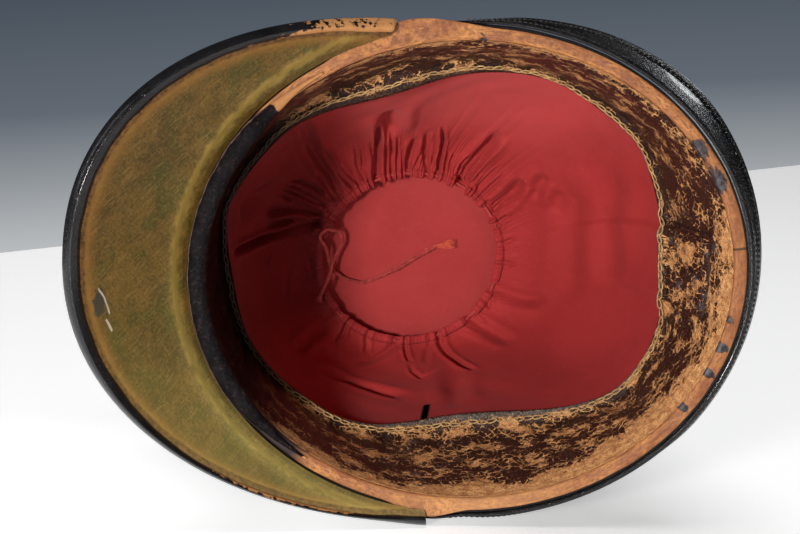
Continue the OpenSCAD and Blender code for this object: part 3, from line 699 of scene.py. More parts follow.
# ---------------------------------------------------------------- drawstring
ROUTE = [
    [-0.0135, 0.0025, 0.1351], [-0.0165, -0.003, 0.134], [-0.0195, -0.0085, 0.1326], [-0.0225, -0.013, 0.1314],
    [-0.024, -0.0165, 0.1309], [-0.027, -0.023, 0.1296], [-0.0285, -0.028, 0.1284], [-0.0275, -0.032, 0.1274],
    [-0.0265, -0.0355, 0.126], [-0.0245, -0.0385, 0.124], [-0.0225, -0.041, 0.1224], [-0.019, -0.0426, 0.1206],
    [-0.0155, -0.0435, 0.1184], [-0.0115, -0.045, 0.1162], [-0.0086, -0.047, 0.1151], [-0.0066, -0.0466, 0.1151],
    [-0.0048, -0.0442, 0.1153], [-0.0052, -0.042, 0.117], [-0.0066, -0.0386, 0.1206], [-0.011, -0.0376, 0.1218],
    [-0.015, -0.0394, 0.1214], [-0.019, -0.041, 0.1202], [-0.0225, -0.042, 0.1184], [-0.026, -0.0432, 0.1162],
    [-0.0295, -0.0448, 0.1151], [-0.032, -0.046, 0.115]
]
route = np.array(ROUTE) / MM


def spline(P, cuts):
    """Smooth line through the points P, with some cuts between each pair."""
    out = []
    for i in range(len(P) - 1):
        p0, p1, p2, p3 = P[max(0, i - 1)], P[i], P[i + 1], P[min(len(P) - 1, i + 2)]
        for k in np.arange(cuts) / cuts:
            bend = 2 * p0 - 5 * p1 + 4 * p2 - p3 + k * (3 * p1 - p0 - 3 * p2 + p3)
            out.append(p1 + 0.5 * k * (p2 - p0 + k * bend))
    return np.array(out + [P[-1]])


path = spline(route, 10)
cord_len = float(np.linalg.norm(np.diff(path, axis=0), axis=1).sum())
share = np.linspace(0, 1, len(path))
loosen = 1 + 0.35 * ease(1 - share / 0.25)
strand = tube(path, CORD_D / 2 * 1.02 * loosen ** 0.5, 16, lobes=3, twist=1.9, flat=loosen)
cord = grid("drawstring_cord", strand, M_CORD, loop="v", uv=(cord_len, CORD_D * 3),
            slot="red_cord", replaces=["drawstring"])

rng = np.random.default_rng(5)
knot_at = route[-1] + np.array([-1.2, -0.4, -0.6])
k = np.linspace(0, 2 * math.pi, 90, endpoint=False)
knot_line = np.stack([np.sin(k) + 2 * np.sin(2 * k), np.cos(k) - 2 * np.cos(2 * k), -np.sin(3 * k) * 1.1], 1)
knot_line = knot_line * 0.36 + knot_at
knot = grid("drawstring_knot_tied", tube(knot_line, 0.46, 10, closed=True), M_CORD, loop="uv",
            slot="red_cord", replaces=["drawstring_knot"])

way = unit(np.array([1.4, 10.7, 2.3]))
across = unit(np.cross(way, [0, 0, 1]))
rise = np.cross(across, way)
strands = []
for i in range(64):
    a, r = rng.uniform(0, 2 * math.pi), math.sqrt(rng.uniform(0, 1))
    side, lift = math.cos(a) * r, math.sin(a) * r
    length = 10.2 * rng.uniform(0.72, 1.0)
    q = np.linspace(0, 1, 12)[:, None]
    spread = 0.45 + 1.55 * ease(q * 1.15)
    bend = 0.35 * np.sin(q * rng.uniform(2, 5) + rng.uniform(0, 6))
    line = (route[0] - way * 1.2 + way * length * q + across * (side * spread + bend * 0.5)
            + rise * (lift * 0.42 * (1 - 0.3 * q)))
    strands.append((tube(line, 0.115, 5), False))
for j in range(10):
    start = path[int(6 + j * 3)]
    q = np.linspace(0, 1, 8)[:, None]
    side = rng.choice([-1, 1])
    line = (start + way * (-5 + 9 * q) * 0.35 + across * side * (0.55 + 0.35 * np.sin(q * 3))
            + rise * rng.uniform(-0.2, 0.3))
    strands.append((tube(line, 0.10, 5), False))
tassel = many("drawstring_frayed_end", strands, M_TASSEL, slot="red_cord", replaces=["drawstring_tassel"])


# ---------------------------------------------------------------- sweatband
def sweat_top_z(t):
    """Height of the sweatband's upper edge."""
    return (SWEAT_H * (1 - 0.24 * bump(t, 322, 38)) + 1.2 * sind(2 * t + 70) + 0.9 * sind(7 * t)
            - 3.5 * bump(t, 42, 16))


def sweat_gap(t):
    """How far the sweatband's upper edge leans in from the felt."""
    return (1.7 + 0.25 * sind(11 * t) - 1.4 * bump(t, 34, 16) - 1.4 * bump(t, 334, 26)
            + 2.2 * ease((turn(t) + 16) / 4) * ease((10 - turn(t)) / 3)
            + SWEAT_LEAN * (bump(t, 110, 50) + 0.81 * bump(t, 281, 40) + 0.28 * bump(t, 190, 24)
                            + 0.28 * bump(t, 154, 20)))


def sweat(t, s, d):
    """Point of the sweatband at a share s of its height, d in from its outer face."""
    t, s, d = np.broadcast_arrays(np.asarray(t, float), s, d)
    top = sweat_top_z(t)
    z = mix(SWEAT_FOOT, top, s)
    o = outward(t)
    fx, fy = wall_xy(t, z / top_z(t), -RIM_SKIN - SWEAT_PLAY)
    ex, ey = wall_xy(t, top / top_z(t), -sweat_gap(t))
    c = np.clip(s, 0, 2)
    k = 0.5 * np.power(c, 1.4) + 0.5 * np.power(c, 8)
    d = d + 2.6 * ease((c - 0.86) / 0.14)
    z = z - 1.6 * ease((c - 0.88) / 0.12)
    return pts(mix(fx, ex, k) - d * o[..., 0], mix(fy, ey, k) - d * o[..., 1], z)


def sweat_wear(t, s):
    """Share of the finish that is gone, from the foot (s = 0) to the upper edge."""
    base = region(t, [0, 14, 24, 45, 60, 95, 125, 150, 200, 222, 238, 262, 290, 312, 335, 360],
                  [0.17, 0.10, 0.07, 0.04, 0.14, 0.10, 0.12, 0.02, 0, 0.12, 0.16, 0.22, 0.28, 0.26, 0.17, 0.17])
    foot = region(t, [0, 25, 40, 60, 110, 138, 205, 228, 250, 290, 320, 345, 360],
                  [0.9, 0.40, 0.30, 0.6, 0.4, 0.0, 0.0, 0.5, 0.8, 1.0, 1.25, 1.0, 0.9])
    reach = region(t, [0, 40, 110, 230, 270, 300, 325, 345, 360],
                   [0.17, 0.09, 0.10, 0.10, 0.11, 0.15, 0.25, 0.18, 0.17])
    w = base + foot * np.exp(-(s / reach) ** 2) + 0.16 * ease((s - 0.78) / 0.12) * (base > 0.1)
    return np.clip(w, 0.0, 1.3)


def front_dark(t):
    """1 at the front, which lies in the shade of the visor."""
    t = np.asarray(t, float) % 360
    return ease((t - 128) / 22) * ease((238 - t) / 24)


def pale_share(t):
    """Where the sweatband's upper edge is rubbed pale."""
    return region(t, [0, 12, 18, 225, 240, 325, 338, 348, 360], [1, 1, 0, 0, 1, 1, 0.2, 1, 1])


def seam_close(t, at, reach):
    """1 on a seam that crosses the rim at an angle, falling to 0 at reach (mm) on either side."""
    return np.clip(1 - np.abs(turn(np.asarray(t, float) - at)) * RIM_PER_DEGREE / reach, 0, 1)


def grey_share(t):
    """Where the sweatband has gone grey."""
    return np.maximum.reduce([bump(t, 0, 22), 0.6 * bump(t, 265, 14), 0.9 * bump(t, 150, 22), 0.8 * bump(t, 215, 22)])


n_around = 1440
T = ring(n_around)[:, None]
pink = np.abs((np.arange(n_around) % 6) - 3)[:, None] / 3.0 * 0.35     # small teeth of the cut edge
S_out = np.linspace(0, 1, 12)[None]
S_in = np.linspace(1, 0, 72)[None]
outer = sweat(T, S_out * (1 - pink / SWEAT_H * S_out), 0.0)
inner_s = S_in * (1 - pink / SWEAT_H * ease((S_in - 0.9) / 0.1))
creases = 0.45 * ripples(sind(T) * 80 + 3, cosd(T) * 90 + S_in * 22, 11, 26)
creases = creases + 0.22 * waves(T + 3 * S_in, 8, 40, 90, 8) * ease(S_in * 2)
lift = creases * ease(S_in * 4) * ease((1.02 - S_in) * 8)
inner = sweat(T, inner_s, SWEAT_T * (0.12 + 0.88 * ease(S_in / 0.14)) + lift)
edge_mid = sweat(T, 1 - pink / SWEAT_H, SWEAT_T * 0.5)
P = np.concatenate([outer, edge_mid, inner], 1)
S_all = np.concatenate([np.repeat(S_out, n_around, 0), np.ones((n_around, 1)), np.repeat(S_in, n_around, 0)], 1)
# The sweatband takes painted shade at the front, where the visor shades it.
sweatband = grid("sweatband_leather", P, M_SWEAT, loop="uv", uv=(520, 102),
                 attrs={"wear": sweat_wear(T, S_all), "edge_mm": (1 - S_all) * SWEAT_H, "grey": grey_share(T),
                        "painted_front_shade": front_dark(T), "pale": pale_share(T),
                        "seam": seam_close(T, 10.6, 1.9) * ease((S_all - 0.22) / 0.04) * ease((1.01 - S_all) / 0.02)},
                 slot="sweat_leather", replaces=["sweatband"])

# Patch that laps the join at the back
first, last = -12.5, 9.5
low, high = 1 - 36 / SWEAT_H, 0.985
tp = np.linspace(first, last, 80)[:, None]
sp = np.linspace(low, high, 60)[None]
to_edge = np.broadcast_arrays((tp - first) / 0.6, (last - tp) / 0.6, (sp - low) / 0.02, (high - sp) / 0.02)
rim_fade = ease(np.minimum.reduce(to_edge))
dp = SWEAT_T + 0.1 + 0.85 * rim_fade + 0.18 * ripples(tp * 1.5, sp * 45, 21, 13) * rim_fade
wear_p = 0.37 + 0.20 * np.exp(-(((tp - 1.5) / 4) ** 2 + ((sp - 0.62) / 0.12) ** 2)) - 0.7 * (1 - rim_fade)
grid("sweatband_join_patch", sweat(tp, sp, dp), M_SWEAT, uv=(34, 36), slot="sweat_leather",
     replaces=["sweatband_patch"],
     attrs={"wear": wear_p, "edge_mm": (high - sp) * SWEAT_H * 0.8, "grey": 1.0, "pale": 1.0})

# Chain stitch
LINKS, SIDES, CUTS = 140, 6, 14
line_t = ring(2000)
lift_t = 1.02 * ease((18 - np.abs(turn(line_t) + 1.5)) / 5)
lane = sweat(line_t, 1 - 3.4 / SWEAT_H + 0.004 * waves(line_t, 17, 20, 60), SWEAT_T + 0.24 + lift_t)
lane_out = -np.concatenate([outward(line_t), np.full((2000, 1), 0.95)], 1)
centre, chain_len = resample(lane, LINKS * 6)
nor = unit(resample(lane + unit(lane_out), LINKS * 6)[0] - centre)
links = []
phi = np.linspace(0, 2 * math.pi, CUTS, endpoint=False)
for i in range(LINKS):
    c0, n0 = centre[i * 6], nor[i * 6]
    w0 = unit(centre[(i * 6 + 3) % len(centre)] - centre[i * 6 - 3])
    side = unit(np.cross(w0, n0))
    w1 = unit(w0 + side * rng.normal(0, 0.07))
    a = np.cos(phi) * chain_len / LINKS * 0.56
    b = np.sin(phi) * (0.78 - 0.22 * np.cos(phi)) * (1 + rng.normal(0, 0.08))
    h = 0.12 * np.cos(phi * 2) + 0.10 * np.cos(phi) + 0.12
    loop = c0 + 0.35 * n0 + a[:, None] * w1 + b[:, None] * side + h[:, None] * n0
    links.append((tube(loop, 0.29, SIDES, closed=True), True))
at_link = np.degrees(np.arctan2(centre[::6, 0], centre[::6, 1] + 9))
# The chain stitch is darker at the front: partly dirt, partly painted shade.
many("sweatband_chain_stitch", links, M_CHAIN, attrs={"painted_front_shade": np.repeat(front_dark(at_link), CUTS * SIDES)},
     slot="stitch", replaces=["sweatband_stitch"])


# ---------------------------------------------------------------- lining
def hem_xy(t, e=0.0):
    """Way round the gathered opening, e in from it."""
    o = outward(t)
    return HEM_A * sind(t) + HEM_X - e * o[..., 0], HEM_B * cosd(t) + HEM_Y - e * o[..., 1]


def hem_z(t):
    """Level of the gathered opening."""
    return plane_z(hem_xy(t)[1]) + HEM_LEVEL


def pleats(t, count, seed, sharp=0.75, jitter=0.34):
    """Rounded ridges with narrow valleys between them, of uneven width and height."""
    t = np.asarray(t, float)
    x = t / 360 * count + jitter * waves(t, seed, max(1, count // 6), max(2, count // 2), 7)
    i = np.floor(x)
    heights = np.random.default_rng(seed + 1).uniform(0.45, 1.0, count)
    f = x - i
    return heights[(i.astype(int)) % count] * np.power(np.sin(math.pi * f), sharp) - 0.45


def gathers(t, s):
    """Height of the lining's fine gathers toward the head, in mm; s is 1 at the hem."""
    x = (1 - s) * LINING_RUN
    fine = region(t, [0, 30, 60, 120, 150, 185, 215, 250, 300, 360],
                  [0.45, 0.6, 1.0, 1.0, 0.9, 0.7, 0.5, 0.25, 0.35, 0.45])
    reach = region(t, [0, 60, 120, 180, 230, 300, 360], [9, 20, 22, 15, 8, 7, 9])
    drift = 2.0 * waves(t, 61, 2, 5, 4) * (1 - s)
    out = 0.95 * fine * np.exp(-(x / reach) ** 2) * pleats(t + drift, 132, 41, 0.8, 0.5)
    return out + 0.60 * fine * ease(x / 5) * np.exp(-(x / (1.9 * reach)) ** 2) * pleats(t + drift, 58, 43)


# Folds of the lining: depth and half width in mm, 1 where both ends run out, then the
# places on the cloth as angle and share of the way to the hem
FOLDS = [
    (1.6, 2.2, 0, (134, 0.08), (137, 0.54), (137, 0.73), (136.5, 0.86), (138, 0.96)),
    (1, 0.9, 0, (133.5, 0.55), (133, 0.74), (132, 0.88), (129, 0.98)),
    (0.7, 0.7, 0, (131, 0.76), (129, 0.89), (125, 0.99)),
    (0.7, 0.7, 0, (121, 0.68), (122, 0.85), (121, 0.98)),
    (0.6, 0.6, 0, (119, 0.78), (120, 0.9), (118.5, 1)),
    (0.8, 0.8, 0, (114, 0.58), (114, 0.78), (115, 1)),
    (1.8, 1.3, 0, (111, 0.46), (111, 0.72), (112, 0.88), (113, 1)),
    (0.6, 0.7, 0, (108, 0.66), (107, 0.85), (107, 1)),
    (0.7, 0.7, 0, (105, 0.62), (104, 0.83), (104, 1)),
    (0.5, 0.6, 0, (102, 0.69), (101, 0.87), (100.5, 1)),
    (0.5, 0.6, 0, (98.5, 0.82), (98, 0.94), (97.5, 1)),
    (1.4, 1.5, 0, (93, 0.75), (94, 0.88), (94.5, 0.96), (94, 1)),
    (0.6, 0.6, 0, (89, 0.89), (90, 0.98), (90.5, 1)),
    (0.9, 1.2, 0, (89, 0.69), (87.5, 0.84), (85, 0.94), (82, 1)),
    (0.5, 0.6, 0, (83, 0.88), (80.5, 0.97), (78, 1)),
    (1.3, 0.8, 0, (84, 0.65), (80, 0.8), (78, 0.91), (76, 1)),
    (0.5, 0.6, 0, (76, 0.85), (74, 0.94), (71, 1)),
    (0.6, 0.6, 0, (72, 0.86), (71.5, 0.94), (69, 1)),
    (0.5, 0.6, 0, (68, 0.87), (68, 0.95), (66, 1)),
    (0.9, 0.8, 0, (64.5, 0.84), (66, 0.92), (65, 0.98), (61, 1)),
    (2, 2.2, 0, (61.5, 0.62), (60.5, 0.74), (61, 0.84), (62, 0.94), (59.5, 1)),
    (0.7, 0.7, 0, (57.5, 0.84), (58, 0.92), (58, 0.98), (54.5, 1)),
    (0.6, 0.6, 0, (55, 0.9), (54.5, 0.98), (51.5, 1)),
    (0.6, 0.7, 0, (50, 0.82), (50, 0.9), (50, 0.98), (48.5, 1)),
    (0.5, 0.7, 0, (45, 0.84), (45, 0.92), (44.5, 1), (44.5, 1)),
    (1.5, 2.4, 0, (37.5, 0.78), (34, 0.9), (33, 0.97), (33, 1)),
    (0.6, 0.7, 0, (32.5, 0.94), (31, 1), (28, 1)),
    (0.7, 0.7, 0, (39, 0.98), (39, 1), (37, 1)),
    (0.7, 0.9, 0, (25, 0.94), (24, 1), (21, 1)),
    (0.4, 0.8, 0, (10, 0.94), (9, 1), (8, 1)),
    (0.5, 0.8, 0, (354, 0.93), (355.5, 0.98), (356, 1)),
    (1.2, 2.5, 0, (335, 0.7), (334, 0.83), (336, 0.94), (339, 1)),
    (1.3, 2.4, 0, (310, 0.64), (310.5, 0.8), (312, 0.93), (314, 1)),
    (0.6, 0.8, 0, (323.5, 0.96), (328.5, 1), (330.5, 1)),
    (0.5, 0.8, 0, (314, 0.9), (317, 0.98), (318, 1)),
    (1.6, 1.3, 0, (289.5, 0.43), (287, 0.56), (286, 0.73), (288.5, 0.94), (291, 1)),
    (1, 0.9, 0, (269, 0.7), (269, 0.91), (269.5, 1)),
    (0.8, 1.3, 0, (247, 0.64), (253, 0.74), (258, 0.85), (263, 0.98), (265.5, 1)),
    (0.6, 1, 1, (269, 0.73), (269, 0.58), (271, 0.48), (274, 0.5), (279, 0.58)),
    (0.6, 1.3, 0, (274, 0.64), (279, 0.84), (286, 1)),
    (0.5, 1, 0, (250, 0.8), (248.5, 0.91), (245, 1)),
    (1, 0.9, 0, (236, 0.76), (234, 0.91), (230, 1)),
    (1.2, 2.2, 0, (227, 0.4), (227, 0.64), (226, 0.82), (223, 0.98)),
    (1.1, 2.6, 1, (235, 0.39), (246, 0.46), (254, 0.42), (262, 0.33), (266, 0.26)),
    (1, 3.5, 1, (226, 0.45), (236, 0.6), (246.5, 0.66)),
    (0.9, 0.9, 0, (141, 0.72), (141.5, 0.82), (142, 0.91), (142, 0.96)),
    (0.8, 0.9, 0, (155, 0.6), (150, 0.7), (147, 0.79), (145, 0.87), (144.5, 0.94)),
    (0.9, 0.8, 0, (156, 0.6), (153, 0.71), (151, 0.82), (148, 0.94)),
    (0.9, 0.8, 0, (158, 0.6), (155, 0.74), (153, 0.84), (150, 0.94)),
    (0.8, 0.8, 0, (160, 0.6), (158, 0.76), (155, 0.86), (152, 0.95)),
    (0.6, 0.8, 0, (161, 0.71), (158, 0.82), (154, 0.96)),
    (1.4, 1.6, 0, (171, 0.57), (166.5, 0.67), (161, 0.78), (158, 0.88), (155, 0.96)),
    (1.2, 1.3, 0, (175, 0.61), (168, 0.77), (163, 0.88), (158, 0.97)),
    (1.7, 1.3, 0, (186.5, 0.18), (184, 0.44), (180, 0.61), (173, 0.78), (165.5, 0.89), (159, 0.98)),
    (0.7, 1, 0, (179, 0.68), (173, 0.83), (165, 0.94)),
    (0.5, 1.4, 1, (211, 0.73), (206, 0.71), (197.5, 0.76), (188, 0.82)),
    (0.4, 1, 1, (185.5, 0.64), (194, 0.6)),
    (0.5, 0.9, 1, (179, 0.96), (188, 0.98), (198, 0.97)),
    (1.6, 5, 1, (159, 0.58), (166, 0.46), (173.5, 0.34)),
    (1.8, 4, 1, (107, 0.28), (106, 0.55), (105, 0.72)),
    (0.9, 7, 1, (33, 0.57), (19, 0.59), (357.5, 0.61), (333, 0.54)),
    (0.9, 2.5, 1, (34, 0.66), (31, 0.74), (25, 0.8)),
    (0.6, 3, 1, (25, 0.64), (15, 0.71)),
    (0.8, 8, 1, (32.5, 0.27), (8.5, 0.38), (340, 0.37)),
    (1, 4, 1, (285, 0.64), (279.5, 0.3), (277, 0.08)),
]


def drape(t, s, d):
    """Point of the side lining at a share s of the way from the sweatband's edge to the hem."""
    t, s, d = np.broadcast_arrays(np.asarray(t, float), s, d)
    start = sweat(t, 1.0, -0.35)
    q = 90 * s
    hx, hy = hem_xy(t)
    k1 = 1 - cosd(q)
    k = d - (2 + 5 * np.maximum(0, cosd(t)) + 8 * np.power(np.maximum(0, sind(t)), 2)) * sind(2 * q)
    o = outward(t)
    return pts(mix(start[..., 0], hx, k1) + k * cosd(q) * o[..., 0],
               mix(start[..., 1], hy, k1) + k * cosd(q) * o[..., 1],
               mix(start[..., 2] + 0.4, hem_z(t), sind(q)) + k * sind(q))


def to_line(P, ends):
    """Distance in mm from each point of P to a line of points, and the share of the way along it."""
    seg = np.diff(ends, axis=0)
    size = np.maximum(np.linalg.norm(seg, axis=1), 1e-6)
    start = np.concatenate([[0], np.cumsum(size)])
    best, way = np.full(P.shape[:-1], 1e9), np.zeros(P.shape[:-1])
    for i, v in enumerate(seg):
        f = np.clip(((P - ends[i]) @ v) / size[i] ** 2, 0, 1)
        d = np.linalg.norm(P - ends[i] - f[..., None] * v, axis=-1)
        near = d < best
        best, way = np.where(near, d, best), np.where(near, (start[i] + f * size[i]) / start[-1], way)
    return best, way


S = np.concatenate([np.linspace(0, 0.6, 62), np.linspace(0.6, 1.0, 95)[1:]])[None]
smooth = drape(T, S, 0.0)
folds = np.zeros(smooth.shape[:2])
for depth, half_width, free, *places in FOLDS:
    ends = drape(np.array([q[0] for q in places]), np.array([q[1] for q in places]), 0.0)
    low, high = ends.min(0) - 5 * half_width, ends.max(0) + 5 * half_width
    near = np.all((smooth > low) & (smooth < high), axis=-1)
    dist, way = to_line(smooth[near], ends)
    k = dist / half_width
    run = ease(way * 3.2) * (ease((1 - way) * 3.2) if free else 1)
    folds[near] += ((2.2 if places[0][0] < 200 else 1.7) * depth * run
                    * (-np.exp(-k ** 2) + 0.42 * np.exp(-((k - 1.9) / 0.9) ** 2)))
folds += 0.25 * ripples(smooth[..., 0], smooth[..., 1] + smooth[..., 2], 67, 30) * ease(S * 4) * ease((1 - S) * 6)
tail = sweat(T, np.array([[0.90, 0.96]]), -0.35)
P = np.concatenate([tail, drape(T, S, -folds * ease(S * 6) - gathers(T, S))], 1)
arc = np.concatenate([np.array([[-8.0, -4.0]]), S * LINING_RUN], 1)
du = turn(T - 268.5 - 0.16 * (arc - 9)) * 1.36
slit_field = np.sqrt((du / 1.25) ** 2 + (np.maximum(np.abs(arc - 9.5) - 5.6, 0)) ** 2) - 0.85
# The side lining takes painted shade at the front and painted light at the top.
side_lining = grid("side_lining_cloth", P, M_SIDE, loop="u", uv=(520, 102), flip=True,
                   attrs={"slit": slit_field, "painted_front_shade": front_dark(T + 6),
                          "painted_top_light": bump(T, 78, 60) * ease((80 - arc) / 40),
                          "soiled": bump(T, 340, 75) * ease((95 - arc) / 30)},
                   slot="red_cloth", replaces=["side_lining"])

phi = np.linspace(0, 360, 24, endpoint=False)[None]
at_hem = gathers(T, 1.0) + folds[:, -1:]
e = 1.62 + 1.80 * cosd(phi) + 0.35 * at_hem * np.maximum(0, cosd(phi)) ** 3
z = 0.95 - 0.95 * sind(phi) - at_hem * (0.5 + 0.5 * sind(phi))
hx, hy = hem_xy(T, e)
# The hem's casing takes the same painted shade at the front.
grid("lining_hem_casing", pts(hx, hy, hem_z(T) + z), M_HEM, loop="uv", flip=True, uv=(240, 9),
     attrs={"painted_front_shade": front_dark(T + 6)}, slot="red_cloth", replaces=["lining_hem"])
t_run = ring(400)
rx, ry = hem_xy(t_run, 1.5)
grid("drawstring_in_hem", tube(pts(rx, ry, hem_z(t_run) + 1.0), 0.45, 8, closed=True, lobes=3, twist=1.9), M_CORD,
     loop="uv", slot="red_cord", replaces=["drawstring_run"])

tc = ring(180)[:, None]
sc = np.linspace(0.0, 1.0, 60)[None]
disc = plate(tc, -2.4, LINING_UNDER, sc)
xs, ys = disc[..., 0], disc[..., 1]
disc[..., 2] += -0.35 * ease((1 - sc) * 6) * (0.5 + 0.5 * ripples(xs, ys, 71, 45))
crown_lining = grid("crown_lining_cloth", disc, M_DISC, loop="u", slot="red_cloth", replaces=["crown_lining"])
cloth = crown_lining.data
flat_uv = np.array([cloth.vertices[loop.vertex_index].co.yx for loop in cloth.loops], np.float32)
cloth.uv_layers[0].data.foreach_set("uv", flat_uv.ravel())

# ---------------------------------------------------------------- rim
N = 720
R = ring(N)
wob = 0.10 * waves(R, 91, 8, 40, 10)
# Section of the rim leather as heights and distances out from the felt's inner face, from its outer edge on
profile = [(0.55, COVER_OUT), (0.15, COVER_OUT - 0.05), (-0.05, COVER_OUT - 0.45), (-0.12, 2.2), (-0.14, 1.0),
           (-0.10, -0.1), (0.10, -0.75), (0.5, -1.08), (1.4, -1.15), (4.0, -1.12), (8.6, -RIM_SKIN), (9.0, -0.9),
           (9.0, -SEAT), (1.3, -SEAT), (1.1, COVER_OUT - 0.1)]
wide = 4.8 * bump(R, 106, 20) + 3.0 * bump(R, 263, 10)
spread = [1.0, 1.03, 0.9, 0.5]
P = []
for i, (z, d) in enumerate(profile):
    foot = 0.25 * wide if i in (0, 1, 2, 14) else 0
    P.append(wall_at(R, z - foot, d + (wob if 0 < i < 8 else 0) + wide * (spread[i] if i < 4 else 0)))
P = np.stack(P, 1)
stain = 0.06 + 0.10 * ripples(sind(R) * 90, cosd(R) * 100, 77, 30)
for at, size, power in ((90, 3.0, 0.6), (62, 1.5, 0.4), (35, 5.0, 0.5), (31, 11.0, 0.50), (24, 7.0, 0.5),
                        (17, 2.5, 0.4), (350, 3.0, 0.5), (343, 2.5, 0.7), (336, 1.8, 0.7),
                        (326, 2.2, 0.7), (268, 1.8, 0.6), (244, 4, 0.4)):
    stain = stain + power * bump(R, at, size)
across = np.linspace(0, 1, len(profile))[None]
dark_rim = ease((R - 139) / 4) * ease((236 - R) / 5)
grid("rim_tan_leather", P, M_TAN, loop="uv", flip=True, uv=(590, 24),
     attrs={"stain": stain[:, None] - 0.35 * ease((0.30 - across) / 0.12), "dark": dark_rim[:, None],
            "seam": seam_close(R, 7.9, 2.0)[:, None], "shade": bump(R, 5, 48)[:, None],
            "bare": bump(R, 275, 32)[:, None]},
     slot="rim_tan", replaces=["rim_leather"])

half = 55.0
tr = np.linspace(180 + half, 180 - half, 260)
phi = np.linspace(0, 360, 24, endpoint=False)
size = 3.5 * (0.14 + 0.86 * ease((half - np.abs(tr - 180)) / 24))
wavy = 1 + 0.03 * waves(tr, 95, 20, 70, 8)
P = np.stack([wall_at(tr, 0.0, 0.6 + size * wavy * cosd(a))
              + pts(0, 0, size * wavy * (sind(a) - 1) - SEAT) for a in phi], 1)
# Where the pale crest line lies: partly rubbed leather, partly painted highlight.
crest_wear_and_highlight = np.exp(-((turn(phi - 335)) / 24.0) ** 2)[None] * (0.10 + 0.46 * bump(tr, 146, 16))[:, None]
crest_wear_and_highlight = np.maximum(crest_wear_and_highlight, 0.88 * np.exp(-((turn(phi - 345)) / 15.0) ** 2)[None])
tan_end = 1 - ease((tr - 136) / 4) * ease((236 - tr) / 4)
grid("rim_rolled_leather", P, M_ROLL, loop="v", uv=(190, 17), attrs={"crest_wear_and_highlight": crest_wear_and_highlight, "tan": tan_end[:, None]},
     slot="roll_leather", replaces=["rim_roll"])


# ---------------------------------------------------------------- bands and body
def flange_share(t):
    """1 where the visor's flange lies under the base band."""
    half = np.where(turn(t) > 0, VISOR_LEFT, VISOR_RIGHT)
    return ease((half + 9 - (180 - np.abs(turn(t)))) / 8)


def swell(t):
    """How far the flange pushes the base band out."""
    return 1.9 * flange_share(t)


def band_foot(t):
    """Height of the base band's lower edge."""
    return mix(0.5, 3.6, flange_share(t))


def rounded(k, foot):
    """How far a band's face falls back at its lower and upper edge; k is the share of its height."""
    return foot * (1 - min(1, k * 9)) ** 2 + 0.35 * (1 - min(1, (1 - k) * 12)) ** 2


zs = np.linspace(0, 1, 14)
foot, d0, d1 = band_foot(R), BAND_IN + swell(R), BAND_OUT + swell(R)
soft = 0.06 * waves(R, 97, 10, 50, 10)
sec = [wall_at(R, foot, d0 + 0.1)]
sec += [wall_at(R, mix(foot + 0.15, BASE_BAND_H - 0.2, k),
                d1 + soft - rounded(k, 0.45) + 0.16 * math.exp(-((k - 0.72) / 0.06) ** 2)) for k in zs]
sec += [wall_at(R, BASE_BAND_H, d1 - 0.7), wall_at(R, BASE_BAND_H, d0 + 0.05)]
grid("base_band_leather", np.stack(sec, 1), M_BAND, loop="uv", flip=True, uv=(600, 46), slot="patent",
     replaces=["base_band"])
line = wall_at(R, 18.8, BAND_OUT + swell(R) + 0.12)
facing = np.concatenate([outward(R), np.zeros((N, 1))], 1)
stitches("base_band_stitches", line, facing, pitch=2.3, length=1.7, r=0.30, replaces=["base_band_seam"])

tb0 = BAND_IN + CROWN_T + SEAT
tb1 = tb0 + TOP_BAND_T
tz = top_z(R)
sec = [wall(R, 1 - TOP_BAND_H / tz, tb0 + 0.05)]
sec += [wall(R, 1 - mix(17.9, 1.7, k) / tz, tb1 + 0.04 * waves(R, 99, 10, 50, 10) - rounded(k, 0.4)) for k in zs]
sec += [wall(R, 1 - 1.5 / tz, tb1 - 0.6), wall(R, 1 - 1.5 / tz, tb0 + 0.05)]
grid("top_band_leather", np.stack(sec, 1), M_BLACK, loop="uv", flip=True, uv=(460, 38), slot="patent",
     replaces=["top_band"])
stitches("top_band_stitches", wall(R, 1 - 15 / tz, tb1 + 0.05), facing, pitch=2.3, length=1.7, r=0.30,
         replaces=["top_band_seam"])

outer_d = BAND_IN + CROWN_T
sec = [lip(R, -4.0), lip(R, -2.0), lip(R, -0.2), lip(R, 0.45)]
sec += [crown(R, mix(-1.0, outer_d, k), 0.62 + 0.42 * math.sin(math.pi * (0.12 + 0.76 * k))
              + 0.05 * waves(R, 101, 8, 30, 8)) for k in (0.12, 0.35, 0.6, 0.82)]
sec += [crown(R, outer_d - 0.2, 0.2), crown(R, outer_d, -0.7)]
sec += [wall(R, 1 - k / tz, outer_d) for k in (3, 8, 13.8)]
sec += [wall(R, 1 - 14 / tz, BAND_IN), crown(R, BAND_IN, SEAT), crown(R, -SEAT, SEAT), crown(R, -SEAT, -4.0)]
grid("crown_edge_leather", np.stack(sec, 1), M_BLACK, loop="uv", uv=(460, 40), angle=50, slot="patent",
     replaces=["crown_edge"])

ss = np.linspace(0, 1, 70)[None]
dz = plate(ring(360)[:, None], -(CROWN_T + 3 * math.sin(TILT)) - 2 * SEAT, DISH_TOP, ss)
dz[..., 2] += 0.10 * ripples(dz[..., 0], dz[..., 1], 103, 40) * ease((1 - ss) * 8) - 0.25 * ease((1 - ss) * 3)
grid("crown_disc_leather", dz, M_BLACK, loop="u", flip=True, uv=(400, 64), slot="patent", replaces=["crown_disc"])

hs = np.linspace(0, 1, 60)
rows = []
for h in np.clip(hs, 0.009, 0.995):
    rows.append(wall(R, h, COVER_OUT + 0.05 * waves(R + 40 * h, 105, 3, 12, 8) * ease(h * 8) * ease((1 - h) * 8)))
cover = grid("body_cover_cloth", np.stack(rows, 1), M_COVER, loop="u", flip=True, uv=(560, 140), slot="cover_cloth",
             replaces=["body_cover"])

